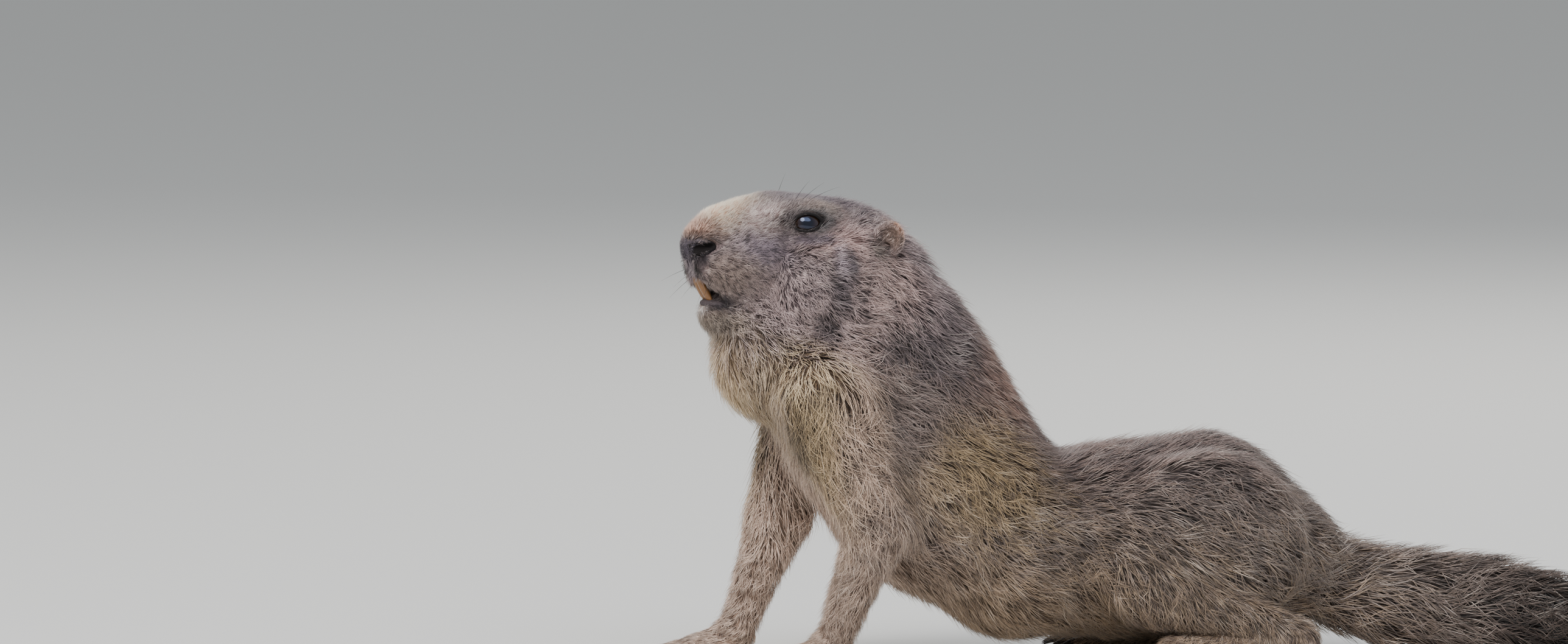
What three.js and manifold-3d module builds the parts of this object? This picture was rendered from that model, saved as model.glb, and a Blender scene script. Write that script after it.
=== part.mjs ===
// An alpine marmot at life size: low on its haunches, forelegs propped, head raised.
// Millimetres, +Z up, nose towards -X, its left side towards -Y. The floor is z = 0.
import * as THREE from "three";
import { mergeVertices } from "three/addons/utils/BufferGeometryUtils.js";
import Module from "manifold-3d";

const wasm = await Module();
wasm.setup();

// Driving sizes, with the coat
const CROWN_HEIGHT = 225;
const HAUNCH_HEIGHT = 112;
const HEAD_LENGTH = 110;
const HEAD_TURN = THREE.MathUtils.degToRad(7);
const NAPE_X = 91.5;
const EYE = { x: 55, y: 21.8, z: 211.5, radius: 6.9, wide: 13.6, open: 7.6 };
const EAR = { x: 93.5, y: 28.5, z: 204, wide: 7.6, tall: 8.8, thick: 3.6 };
const TAIL_LENGTH = 172;
const TAIL_SWEEP = THREE.MathUtils.degToRad(72);
const GAP = 0.3;
const FLAT = 0.6; // how far the forms that stand on the floor reach under it, to be cut flat
const SIDES = { left: -1, right: 1 };

// Coat depths, from the skin to the tips
const COAT = {
  face: 2.5, lip: 0.8, cheek: 5, neck: 12, chest: 12, back: 12, shoulder: 14, arm: 12,
  forearm: 6, hand: 1.5, thigh: 11, foot: 2, tail: 15,
};

// The ways in which the hair lies
const BACKWARD = [1, 0, -0.1];
const DOWN_THE_NECK = [0.62, 0, -0.78];
const DOWN_THE_CHEST = [0.3, 0, -0.95];

// Long hair stands on a core that is taken in by this share of the coat; short hair has none
const CORE = 0.55;
const LONG_HAIR = 7;

const clamp = THREE.MathUtils.clamp;
const lerp = THREE.MathUtils.lerp;

// Vector helpers on plain [x, y, z] points
const plus = (a, b) => [a[0] + b[0], a[1] + b[1], a[2] + b[2]];
const minus = (a, b) => [a[0] - b[0], a[1] - b[1], a[2] - b[2]];
const times = (a, s) => [a[0] * s, a[1] * s, a[2] * s];
const dot = (a, b) => a[0] * b[0] + a[1] * b[1] + a[2] * b[2];
const unit = (a) => times(a, 1 / Math.hypot(...a));

// The head has a frame of its own: x back from the nose, y to its right, z over the floor
const HEAD_PIVOT = 95;
const headBack = [Math.cos(HEAD_TURN), Math.sin(HEAD_TURN), 0];
const headRight = [-Math.sin(HEAD_TURN), Math.cos(HEAD_TURN), 0];
const headUp = [0, 0, 1];
const headWay = (v) => plus(plus(times(headBack, v[0]), times(headRight, v[1])), times(headUp, v[2]));
const headPoint = (p) => plus([NAPE_X, 0, 0], headWay([p[0] - HEAD_PIVOT, p[1], p[2]]));

// A form is a rounded volume: its distance function, its coat's depth and the lie of its hair
function ellipsoid(centre, radii, coat, lie, axes = [[1, 0, 0], [0, 1, 0], [0, 0, 1]]) {
  const [ax, ay, az] = axes;
  const distance = (x, y, z, inset) => {
    const dx = x - centre[0];
    const dy = y - centre[1];
    const dz = z - centre[2];
    const u = dx * ax[0] + dy * ax[1] + dz * ax[2];
    const v = dx * ay[0] + dy * ay[1] + dz * ay[2];
    const w = dx * az[0] + dy * az[1] + dz * az[2];
    const a = radii[0] - inset;
    const b = radii[1] - inset;
    const c = radii[2] - inset;
    const near = Math.hypot(u / a, v / b, w / c);
    const slope = Math.hypot(u / (a * a), v / (b * b), w / (c * c));
    return slope > 1e-9 ? (near * (near - 1)) / slope : -Math.min(a, b, c);
  };
  return { distance, coat, lie, middle: centre, reach: Math.max(...radii) };
}

// A rounded cone from one point to another, its width across y scaled by broad
function cone(from, to, fromRadius, toRadius, coat, lie, broad = 1) {
  const way = minus(to, from);
  const across = [way[0], way[1] / broad, way[2]];
  const square = dot(across, across);
  const distance = (x, y, z, inset) => {
    const dx = x - from[0];
    const dy = (y - from[1]) / broad;
    const dz = z - from[2];
    const t = clamp((dx * across[0] + dy * across[1] + dz * across[2]) / square, 0, 1);
    const r = lerp(fromRadius, toRadius, t) - inset;
    return Math.hypot(dx - t * across[0], dy - t * across[1], dz - t * across[2]) - r;
  };
  const reach = Math.hypot(...way) / 2 + Math.max(fromRadius, toRadius) * broad;
  return { distance, coat, lie, middle: times(plus(from, to), 0.5), reach };
}

// A tilt about the y axis for an ellipsoid: its long axis falls towards +X by this many degrees
function tilted(degrees) {
  const a = THREE.MathUtils.degToRad(degrees);
  return [[Math.cos(a), 0, -Math.sin(a)], [0, 1, 0], [Math.sin(a), 0, Math.cos(a)]];
}

const headForm = (centre, radii, coat, lie) =>
  ellipsoid(headPoint(centre), radii, coat, headWay(lie), [headBack, headRight, headUp]);
const headCone = (from, to, fromRadius, toRadius, coat, lie, broad) =>
  cone(headPoint(from), headPoint(to), fromRadius, toRadius, coat, headWay(lie), broad);

// Head
const CROWN = CROWN_HEIGHT - 32;
const MUZZLE_LENGTH = HEAD_LENGTH * 0.41;
const LID_RADIUS = EYE.radius + 1.8;
const headForms = [
  headForm([HEAD_LENGTH - 35, 0, CROWN], [30.5, 28.5, 28], COAT.cheek, [1, 0, 0.1]),
  headForm([HEAD_LENGTH - 52, 0, CROWN + 10], [26, 21, 19.5], COAT.face, [1, 0, 0.2]),
  headCone(
    [21, 0, CROWN + 14.8], [MUZZLE_LENGTH, 0, CROWN + 12.8], 13.4, 18.6, COAT.face, [1, 0, 0.25], 1.12,
  ),
  headForm([15, 0, CROWN + 9.5], [14.5, 12.5, 14], COAT.face, [1, 0, 0.5]),
  headCone([17, 0, 169.5], [56, 0, 171], 9, 18, COAT.face, [1, 0, -0.4], 1.15),
];
const lipForms = [];
for (const side of Object.values(SIDES)) {
  headForms.push(
    headForm([17.5, side * 8.5, 192.5], [13.5, 9, 10.5], COAT.face, [1, side * 0.3, -0.4]),
    headForm([40, side * 9, 193], [28, 14, 19], COAT.face, [1, side * 0.2, -0.2]),
    headForm([68, side * 22, 184], [27, 18, 25], COAT.cheek, [1, side * 0.2, -0.6]),
    headForm([57, side * 14, CROWN + 17.5], [19, 13, 12.5], COAT.face, [1, side * 0.2, 0.2]),
  );
  lipForms.push(
    headCone([8.5, side * 4, 186.5], [28, side * 12.5, 177], 2.6, 2.4, COAT.lip, [1, side, -0.5]),
    headCone([10.5, side * 3, 176.6], [28, side * 12, 170.5], 2.6, 2.2, COAT.lip, [1, side, -0.5]),
    headForm([EYE.x, side * EYE.y, EYE.z], [LID_RADIUS, LID_RADIUS, LID_RADIUS], COAT.lip, [1, 0, 0]),
  );
}

// Neck and trunk: stations of the spine with the half height square to it and the half width
const STATIONS = [
  { x: 82, z: 170, tall: 45, wide: 40, coat: COAT.neck, lie: DOWN_THE_NECK },
  { x: 93, z: 141, tall: 53, wide: 46, coat: COAT.neck, lie: DOWN_THE_NECK },
  { x: 107, z: 115, tall: 55, wide: 50, coat: COAT.back, lie: DOWN_THE_NECK },
  { x: 125, z: 87, tall: 54, wide: 53, coat: COAT.back, lie: [0.7, 0, -0.7] },
  { x: 163, z: HAUNCH_HEIGHT - 55, tall: 45, wide: 57, coat: COAT.back, lie: [0.9, 0, -0.4] },
  { x: 212, z: HAUNCH_HEIGHT - 54, tall: 47, wide: 58, coat: COAT.back, lie: BACKWARD },
  { x: 256, z: HAUNCH_HEIGHT - 52, tall: 49, wide: 54, coat: COAT.back, lie: BACKWARD },
  { x: 288, z: 51, tall: 35, wide: 41, coat: COAT.back, lie: [0.9, 0, -0.4] },
];
function trunkForm(a, b) {
  const wayX = b.x - a.x;
  const wayZ = b.z - a.z;
  const square = wayX * wayX + wayZ * wayZ;
  const distance = (x, y, z, inset) => {
    const t = clamp(((x - a.x) * wayX + (z - a.z) * wayZ) / square, 0, 1);
    const tall = lerp(a.tall, b.tall, t) - inset;
    const wide = lerp(a.wide, b.wide, t) - inset;
    const off = Math.hypot(x - a.x - t * wayX, z - a.z - t * wayZ);
    const near = Math.hypot(off / tall, y / wide);
    const slope = Math.hypot(off / (tall * tall), y / (wide * wide));
    return slope > 1e-9 ? (near * (near - 1)) / slope : -tall;
  };
  const middle = [(a.x + b.x) / 2, 0, (a.z + b.z) / 2];
  const reach = Math.sqrt(square) / 2 + Math.max(a.tall, a.wide, b.tall, b.wide);
  return { distance, coat: (a.coat + b.coat) / 2, lie: unit(plus(a.lie, b.lie)), middle, reach };
}
const trunkForms = STATIONS.slice(1).map((b, i) => trunkForm(STATIONS[i], b));
trunkForms.push(ellipsoid([46, -4, 148], [33, 35, 33], COAT.chest, DOWN_THE_CHEST));

// Forelegs: the left one stands under the shoulder, the right one is set forward
const FORELEGS = {
  left: { shoulder: [61, 42, 129], elbow: [84, 46, 70], wrist: [64, 38, 14] },
  right: { shoulder: [75, 42, 126], elbow: [59, 44, 69], wrist: [36, 37, 14] },
};
const FINGER = { length: 17, radius: 4.2, spread: 7.2, count: 4, claw: 12 };
const PALM_LENGTH = 22;
const at = (side, [x, y, z]) => [x, side * y, z];
const forelegForms = {};
const handForms = {};
const claws = [];
for (const [name, side] of Object.entries(SIDES)) {
  const leg = FORELEGS[name];
  const shoulder = at(side, leg.shoulder);
  const elbow = at(side, leg.elbow);
  const wrist = at(side, leg.wrist);
  const blade = at(side, [leg.shoulder[0] + 10, 36, leg.shoulder[2] - 8]);
  forelegForms[name] = [
    ellipsoid(blade, [30, 21, 38], COAT.shoulder, [0.5, side * 0.2, -0.85], tilted(-14)),
    cone(shoulder, elbow, 25, 16.5, COAT.arm, [0.2, side * 0.1, -1]),
    cone(elbow, wrist, 15.5, 10, COAT.forearm, [-0.3, 0, -1]),
  ];
  const palm = plus(wrist, [-PALM_LENGTH / 2 - 1, 0, 8 - FLAT - wrist[2]]);
  handForms[name] = [
    ellipsoid(palm, [PALM_LENGTH * 0.72, 13, 8], COAT.hand, [-1, 0, -0.2]),
    cone(wrist, plus(wrist, [-8, 0, -4]), 9.5, 8.5, COAT.hand, [-1, 0, -0.5]),
  ];
  for (let i = 0; i < FINGER.count; i++) {
    const across = (i - (FINGER.count - 1) / 2) * FINGER.spread;
    const reach = FINGER.length * (1 - 0.09 * Math.abs(i - 1.3));
    const knuckle = plus(wrist, [-PALM_LENGTH, across * 0.72, -7]);
    const tip = plus(wrist, [-PALM_LENGTH - reach, across, FINGER.radius - FLAT - wrist[2]]);
    handForms[name].push(cone(knuckle, tip, FINGER.radius + 0.6, FINGER.radius, COAT.hand, [-1, 0, -0.2]));
    const label = { name: `claw_fore_${name}_${i + 1}`, foot: "forepaw_" + name };
    claws.push({ ...label, knuckle, tip, length: FINGER.claw });
  }
}

// Hind legs, folded under the haunches with the soles flat
const HIND = { knee: [214, 50, 46], heel: [288, 52, 9.9], ball: [226, 57, 8.9] };
const TOE = { length: 18, radius: 4.4, spread: 6.4, count: 5, claw: 10 };
const hindForms = {};
const soleForms = {};
for (const [name, side] of Object.entries(SIDES)) {
  const knee = at(side, HIND.knee);
  const heel = at(side, HIND.heel);
  const ball = at(side, HIND.ball);
  hindForms[name] = [
    ellipsoid(at(side, [247, 40, 59]), [50, 25, 45], COAT.thigh, [0.75, side * 0.1, -0.7], tilted(8)),
    ellipsoid(knee, [24, 17, 25], COAT.thigh, [0.6, side * 0.1, -0.9]),
    cone(plus(knee, [6, side * 3, -10]), plus(heel, [0, 0, 5]), 17, 11, COAT.forearm, [0.4, 0, -1]),
  ];
  soleForms[name] = [cone(heel, ball, 10.5, 9.5, COAT.foot, [-1, 0, -0.3], 1.2)];
  for (let i = 0; i < TOE.count; i++) {
    const across = (i - (TOE.count - 1) / 2) * TOE.spread;
    const reach = TOE.length * (1 - 0.1 * Math.abs(i - 2));
    const knuckle = plus(ball, [-5, across * 0.66, -2.6]);
    const tip = plus(ball, [-5 - reach, across + side * 1.5, TOE.radius - FLAT - ball[2]]);
    soleForms[name].push(cone(knuckle, tip, TOE.radius + 0.5, TOE.radius, COAT.foot, [-1, 0, -0.3]));
    const label = { name: `claw_hind_${name}_${i + 1}`, foot: "hindfoot_" + name };
    claws.push({ ...label, knuckle, tip, length: TOE.claw });
  }
}

// Tail, laid on the floor in an arc towards the left
const TAIL_ROOT = [304, 0, 38];
const TAIL_STEPS = 8;
const tailPoint = (t) => {
  const radius = TAIL_LENGTH / TAIL_SWEEP;
  const fall = 0.5 - 0.5 * Math.cos(Math.PI * clamp(t * 3, 0, 1));
  const low = tailRadius(t) - FLAT;
  return [
    TAIL_ROOT[0] + radius * Math.sin(TAIL_SWEEP * t),
    -radius * (1 - Math.cos(TAIL_SWEEP * t)),
    lerp(TAIL_ROOT[2], low, fall),
  ];
};
const tailRadius = (t) => 9 + 18 * Math.pow(Math.sin(Math.PI * clamp(0.28 + 0.66 * t, 0, 1)), 0.75);
const tailForms = [];
for (let i = 0; i < TAIL_STEPS; i++) {
  const t = i / TAIL_STEPS;
  const next = (i + 1) / TAIL_STEPS;
  const a = tailPoint(t);
  const b = tailPoint(next);
  tailForms.push(cone(a, b, tailRadius(t), tailRadius(next), COAT.tail, unit(minus(b, a))));
}

// Fields
// A form is skipped where the point is well outside the ball that holds it
const FAR = 22;
function blended(forms, softness) {
  const all = new Float64Array(forms.length);
  return (x, y, z, share) => {
    let low = Infinity;
    let rough = Infinity;
    for (let i = 0; i < forms.length; i++) {
      const { middle, reach, coat, distance } = forms[i];
      const away = Math.hypot(x - middle[0], y - middle[1], z - middle[2]) - reach;
      rough = Math.min(rough, away);
      const inset = coat > LONG_HAIR ? share * coat : 0;
      all[i] = away > FAR ? Infinity : distance(x, y, z, inset);
      low = Math.min(low, all[i]);
    }
    if (low === Infinity) return rough;
    let sum = 0;
    for (let i = 0; i < forms.length; i++) sum += Math.exp((low - all[i]) / softness);
    return low - softness * Math.log(sum);
  };
}
function soften(a, b, k) {
  const h = clamp(0.5 + (0.5 * (b - a)) / k, 0, 1);
  return lerp(b, a, h) - k * h * (1 - h);
}
const paired = (forms, softness) => {
  const left = blended(forms.left, softness);
  const right = blended(forms.right, softness);
  return (x, y, z, share) => (y < 0 ? left(x, y, z, share) : right(x, y, z, share));
};
const skull = blended(headForms, 2.8);
const lips = blended(lipForms, 0.8);
const headField = (x, y, z, share) => soften(skull(x, y, z, share), lips(x, y, z, share), 2.5);
const trunkField = blended(trunkForms, 3);
const tailField = blended(tailForms, 2);
const forelegField = paired(forelegForms, 3);
const handField = paired(handForms, 0.8);
const hindField = paired(hindForms, 3.5);
const soleField = paired(soleForms, 0.9);

// The whole body, each form taken in by a share of its coat's depth
function body(x, y, z, share = 0) {
  let d = soften(trunkField(x, y, z, share), headField(x, y, z, share), 14);
  const foreleg = soften(forelegField(x, y, z, share), handField(x, y, z, share), 5);
  const hindleg = soften(hindField(x, y, z, share), soleField(x, y, z, share), 6);
  d = soften(d, foreleg, 9);
  d = soften(d, hindleg, 9);
  return soften(d, tailField(x, y, z, share), 12);
}

// The surface of a field inside a box, as a closed net over a grid, each point moved onto it
const BLOCK = 5;
function netOf(field, low, high, step) {
  const [nx, ny, nz] = [0, 1, 2].map((i) => Math.ceil((high[i] - low[i]) / step) + 3);
  const place = (i, axis) => low[axis] + (i - 1) * step;
  const index = (i, j, k) => (i * ny + j) * nz + k;
  const bounded = (x, y, z) => {
    const edge = Math.max(low[0] - x, x - high[0], low[1] - y, y - high[1], low[2] - z, z - high[2]);
    return Math.max(edge, field(x, y, z)) || 1e-6;
  };
  const value = new Float32Array(nx * ny * nz);
  const half = (BLOCK - 1) / 2;
  const unsure = half * Math.sqrt(3) * step * 2.2;
  for (let bi = 0; bi < nx; bi += BLOCK)
    for (let bj = 0; bj < ny; bj += BLOCK)
      for (let bk = 0; bk < nz; bk += BLOCK) {
        const centre = field(place(bi + half, 0), place(bj + half, 1), place(bk + half, 2));
        const near = Math.abs(centre) < unsure;
        for (let i = bi; i < Math.min(bi + BLOCK, nx); i++)
          for (let j = bj; j < Math.min(bj + BLOCK, ny); j++)
            for (let k = bk; k < Math.min(bk + BLOCK, nz); k++) {
              const [x, y, z] = [place(i, 0), place(j, 1), place(k, 2)];
              const rim = i < 2 || j < 2 || k < 2 || i > nx - 4 || j > ny - 4 || k > nz - 4;
              value[index(i, j, k)] = near || (rim && centre < 0) ? bounded(x, y, z) : centre;
            }
      }
  const cell = new Int32Array(nx * ny * nz).fill(-1);
  const points = [];
  for (let i = 0; i < nx - 1; i++)
    for (let j = 0; j < ny - 1; j++)
      for (let k = 0; k < nz - 1; k++) {
        const sum = [0, 0, 0];
        let crossings = 0;
        for (let corner = 0; corner < 8; corner++)
          for (let axis = 0; axis < 3; axis++) {
            if (corner & (1 << axis)) continue;
            const a = [corner & 1, (corner >> 1) & 1, (corner >> 2) & 1];
            const va = value[index(i + a[0], j + a[1], k + a[2])];
            const b = [...a];
            b[axis] = 1;
            const vb = value[index(i + b[0], j + b[1], k + b[2])];
            if (va < 0 === vb < 0) continue;
            a[axis] = va / (va - vb);
            for (let m = 0; m < 3; m++) sum[m] += a[m];
            crossings++;
          }
        if (!crossings) continue;
        cell[index(i, j, k)] = points.length;
        points.push([i, j, k].map((n, m) => place(n, m) + (step * sum[m]) / crossings));
      }
  const faces = [];
  const quad = (a, b, c, d, flip) => {
    const [p, q, r, s] = flip ? [a, d, c, b] : [a, b, c, d];
    const long = (m, n) => Math.hypot(...minus(points[m], points[n]));
    if (long(p, r) < long(q, s)) faces.push([p, q, r], [p, r, s]);
    else faces.push([p, q, s], [q, r, s]);
  };
  for (let i = 1; i < nx - 1; i++)
    for (let j = 1; j < ny - 1; j++)
      for (let k = 1; k < nz - 1; k++) {
        const here = value[index(i, j, k)] < 0;
        const back = (a, b, c) => cell[index(i - a, j - b, k - c)];
        if (here !== value[index(i + 1, j, k)] < 0)
          quad(back(0, 0, 0), back(0, 1, 0), back(0, 1, 1), back(0, 0, 1), !here);
        if (here !== value[index(i, j + 1, k)] < 0)
          quad(back(0, 0, 0), back(0, 0, 1), back(1, 0, 1), back(1, 0, 0), !here);
        if (here !== value[index(i, j, k + 1)] < 0)
          quad(back(0, 0, 0), back(1, 0, 0), back(1, 1, 0), back(0, 1, 0), !here);
      }
  const h = 0.05;
  for (const p of points)
    for (let turn = 0; turn < 2; turn++) {
      const d = bounded(...p);
      const slope = [0, 1, 2].map((m) => {
        const q = [...p];
        q[m] += h;
        return (bounded(...q) - d) / h;
      });
      const move = clamp(d / Math.max(dot(slope, slope), 0.1), -step / 2, step / 2);
      for (let m = 0; m < 3; m++) p[m] -= move * slope[m];
    }
  return { points, faces };
}

// A net with fewer triangles: again and again the edge whose loss changes least is closed up
const cross = (a, b) => [a[1] * b[2] - a[2] * b[1], a[2] * b[0] - a[0] * b[2], a[0] * b[1] - a[1] * b[0]];
function makeHeap() {
  const items = [];
  const swap = (i, j) => ([items[i], items[j]] = [items[j], items[i]]);
  return {
    push(item) {
      items.push(item);
      let i = items.length - 1;
      while (i > 0 && items[i].cost < items[(i - 1) >> 1].cost) {
        swap(i, (i - 1) >> 1);
        i = (i - 1) >> 1;
      }
    },
    pop() {
      swap(0, items.length - 1);
      const top = items.pop();
      for (let i = 0, next = 0; ; i = next) {
        for (const child of [2 * i + 1, 2 * i + 2])
          if (child < items.length && items[child].cost < items[next].cost) next = child;
        if (next === i) return top;
        swap(i, next);
      }
    },
    get size() {
      return items.length;
    },
  };
}
function thinned({ points, faces }, target, held = () => false) {
  const holding = points.map(held);
  const around = points.map(() => new Set());
  faces.forEach((f, i) => f.forEach((v) => around[v].add(i)));
  const areaNormal = (f) => cross(minus(points[f[1]], points[f[0]]), minus(points[f[2]], points[f[0]]));
  const quadrics = points.map(() => new Float64Array(10));
  for (const f of faces) {
    const normal = areaNormal(f);
    const area = Math.hypot(...normal) || 1e-9;
    const [a, b, c] = times(normal, 1 / area);
    const d = -dot([a, b, c], points[f[0]]);
    const terms = [a * a, a * b, a * c, a * d, b * b, b * c, b * d, c * c, c * d, d * d];
    for (const v of f) terms.forEach((t, i) => (quadrics[v][i] += t * area));
  }
  const costAt = (q, [x, y, z]) =>
    q[0] * x * x + 2 * q[1] * x * y + 2 * q[2] * x * z + 2 * q[3] * x + q[4] * y * y +
    2 * q[5] * y * z + 2 * q[6] * y + q[7] * z * z + 2 * q[8] * z + q[9];
  const bestPlace = (q, a, b) => {
    const rows = [[q[0], q[1], q[2]], [q[1], q[4], q[5]], [q[2], q[5], q[7]]];
    const right = [-q[3], -q[6], -q[8]];
    const whole = dot(rows[0], cross(rows[1], rows[2]));
    const mid = times(plus(a, b), 0.5);
    const size = Math.cbrt(q[0] + q[4] + q[7]) ** 3;
    if (Math.abs(whole) < 1e-4 * Math.max(size, 1e-9)) return mid;
    const solved = times(
      plus(
        plus(times(cross(rows[1], rows[2]), right[0]), times(cross(rows[2], rows[0]), right[1])),
        times(cross(rows[0], rows[1]), right[2]),
      ),
      1 / whole,
    );
    return Math.hypot(...minus(solved, mid)) < Math.hypot(...minus(a, b)) ? solved : mid;
  };
  const stamp = new Int32Array(points.length);
  const heap = makeHeap();
  const consider = (a, b) => {
    if (holding[a] || holding[b]) return;
    const q = quadrics[a].map((t, i) => t + quadrics[b][i]);
    const spot = bestPlace(q, points[a], points[b]);
    const along = minus(points[a], points[b]);
    const cost = costAt(q, spot) + 1e-4 * dot(along, along);
    heap.push({ cost, a, b, spot, mark: stamp[a] + stamp[b] });
  };
  const neighbours = (v) => new Set([...around[v]].flatMap((f) => faces[f]).filter((w) => w !== v));
  for (let v = 0; v < points.length; v++) for (const w of neighbours(v)) if (v < w) consider(v, w);
  let left = faces.length;
  while (left > target && heap.size) {
    const { a, b, spot, mark } = heap.pop();
    if (mark !== stamp[a] + stamp[b] || !around[a].size || !around[b].size) continue;
    const beside = neighbours(b);
    if ([...neighbours(a)].filter((w) => beside.has(w)).length !== 2) continue;
    const turned = [a, b].some((v) =>
      [...around[v]].some((f) => {
        if (faces[f].includes(a) && faces[f].includes(b)) return false;
        const before = areaNormal(faces[f]);
        const kept = points[v];
        points[v] = spot;
        const after = areaNormal(faces[f]);
        points[v] = kept;
        return dot(before, after) < 0.3 * Math.hypot(...before) * Math.hypot(...after) + 1e-12;
      }),
    );
    if (turned) continue;
    points[a] = spot;
    quadrics[b].forEach((t, i) => (quadrics[a][i] += t));
    for (const f of around[b]) {
      if (faces[f].includes(a)) {
        for (const v of faces[f]) around[v].delete(f);
        faces[f] = null;
        left--;
      } else {
        faces[f][faces[f].indexOf(b)] = a;
        around[a].add(f);
      }
    }
    around[b].clear();
    stamp[a] += 1e4;
    stamp[b] += 1e4;
    for (const w of neighbours(a)) consider(a, w);
  }
  const kept = faces.filter(Boolean);
  const used = new Map();
  const renumbered = kept.map((f) => f.map((v) => used.get(v) ?? (used.set(v, used.size), used.get(v))));
  return { points: [...used.keys()].map((v) => points[v]), faces: renumbered };
}

// Solids
const WORLD = [[1, 0, 0], [0, 1, 0], [0, 0, 1]];
function solidOfNet({ points, faces }) {
  const vertProperties = new Float32Array(points.flat());
  const triVerts = new Uint32Array(faces.flat());
  return new wasm.Manifold(new wasm.Mesh({ numProp: 3, vertProperties, triVerts }));
}
// The same with its faces turned round if they point inwards
function outward(net) {
  const made = solidOfNet(net);
  if (made.volume() > 0) return made;
  return solidOfNet({ points: net.points, faces: net.faces.map(([a, b, c]) => [a, c, b]) });
}
function solidOf(geometry) {
  geometry.deleteAttribute("normal");
  geometry.deleteAttribute("uv");
  const whole = mergeVertices(geometry, 1e-4);
  const vertProperties = whole.attributes.position.array;
  const triVerts = new Uint32Array(whole.index.array);
  return new wasm.Manifold(new wasm.Mesh({ numProp: 3, vertProperties, triVerts }));
}
function ball(centre, radii, fat = 0, axes = WORLD, detail = 3) {
  const geometry = new THREE.IcosahedronGeometry(1, detail);
  const [a, b, c] = axes;
  const handed = dot(cross(a, b), c) < 0 ? [times(a, -1), b, c] : axes;
  const sized = handed.map((axis, i) => new THREE.Vector3(...times(axis, radii[i] + fat)));
  geometry.applyMatrix4(new THREE.Matrix4().makeBasis(...sized).setPosition(...centre));
  return solidOf(geometry);
}
// Everything on the far side of a plane
function beyond(point, normal, fat = 0) {
  const size = 900;
  const geometry = new THREE.BoxGeometry(size, size, size);
  geometry.translate(0, 0, size / 2 - fat);
  const up = new THREE.Vector3(0, 0, 1);
  const turn = new THREE.Quaternion().setFromUnitVectors(up, new THREE.Vector3(...unit(normal)));
  geometry.applyQuaternion(turn);
  geometry.translate(...point);
  return solidOf(geometry);
}
// A solid through rings of as many points each, which ends in one point
function ringed(rings, tip) {
  const sides = rings[0].length;
  const points = [...rings.flat(), tip];
  const last = points.length - 1 - sides;
  const faces = [];
  for (let k = 0; k < sides; k++) {
    const next = (k + 1) % sides;
    for (let ring = 0; ring < last; ring += sides) {
      faces.push([ring + k, ring + next, ring + sides + next]);
      faces.push([ring + k, ring + sides + next, ring + sides + k]);
    }
    faces.push([last + k, last + next, last + sides]);
    if (k > 1) faces.push([0, k, k - 1]);
  }
  return outward({ points, faces });
}
function netOfSolid(made) {
  const mesh = made.getMesh();
  const points = [];
  const faces = [];
  for (let i = 0; i < mesh.vertProperties.length; i += 3) {
    points.push([...mesh.vertProperties.subarray(i, i + 3)]);
  }
  for (let i = 0; i < mesh.triVerts.length; i += 3) faces.push([...mesh.triVerts.subarray(i, i + 3)]);
  return { points, faces };
}
// A copy of a solid with every corner moved out by a gap
function fattened(made, gap) {
  const { points, faces } = netOfSolid(made);
  const normals = points.map(() => [0, 0, 0]);
  for (const face of faces) {
    const [a, b, c] = face.map((i) => points[i]);
    const normal = cross(minus(b, a), minus(c, a));
    for (const i of face) normals[i] = plus(normals[i], normal);
  }
  return solidOfNet({ points: points.map((p, i) => plus(p, times(unit(normals[i]), gap))), faces });
}
const meet = (a, b) => [0, 1, 2].every((m) => a.min[m] < b.max[m] && b.min[m] < a.max[m]);
const TOUCH = 0.002;
const clash = (a, b) => meet(a.boundingBox(), b.boundingBox()) && a.intersect(b).volume() > TOUCH;
const largest = (made) =>
  made.decompose().reduce((best, one) => (one.volume() > best.volume() ? one : best));

// The body's nodes are cut from it one after another, a gap wider each time
const netOfBody = (low, high, step, target) =>
  solidOfNet(thinned(netOf((x, y, z) => body(x, y, z, CORE), low, high, step), target));
const floor = (made) => made.subtract(beyond([0, 0, 0], [0, 0, -1]));
const nodes = {};
const claims = [];
const insets = [];
let rest = floor(netOfBody([-10, -125, -6], [500, 90, 235], 3.6, 3200));
// A region gives its solid, grown by a margin, and how deep inside it a point lies
const oval = (centre, radii, axes = WORLD) => ({
  solid: (fat) => ball(centre, radii, fat, axes, 2),
  depth: (p) => {
    const away = minus(p, centre);
    const share = Math.hypot(...axes.map((axis, i) => dot(away, axis) / radii[i]));
    const steep = Math.hypot(...axes.map((axis, i) => dot(away, axis) / radii[i] ** 2)) / share;
    return (1 - share) / steep;
  },
});
const half = (point, normal) => ({
  solid: (fat) => beyond(point, normal, fat),
  depth: (p) => dot(minus(p, point), unit(normal)),
});
function claim(name, region, source = rest) {
  nodes[name] = largest(source.intersect(region.solid(0)));
  rest = rest.subtract(region.solid(GAP));
  claims.push({ name, ...region });
}
const nodeAt = (p) => (claims.find(({ depth }) => depth(p) > 0) ?? { name: "torso" }).name;

const HEAD_REGION = { centre: [48, 0, 200], radii: [70, 62, 48] };
const fineHead = netOfBody([-14, -54, 132], [136, 54, 234], 1.9, 3200);
claim("head", oval(HEAD_REGION.centre, HEAD_REGION.radii), fineHead);

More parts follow.
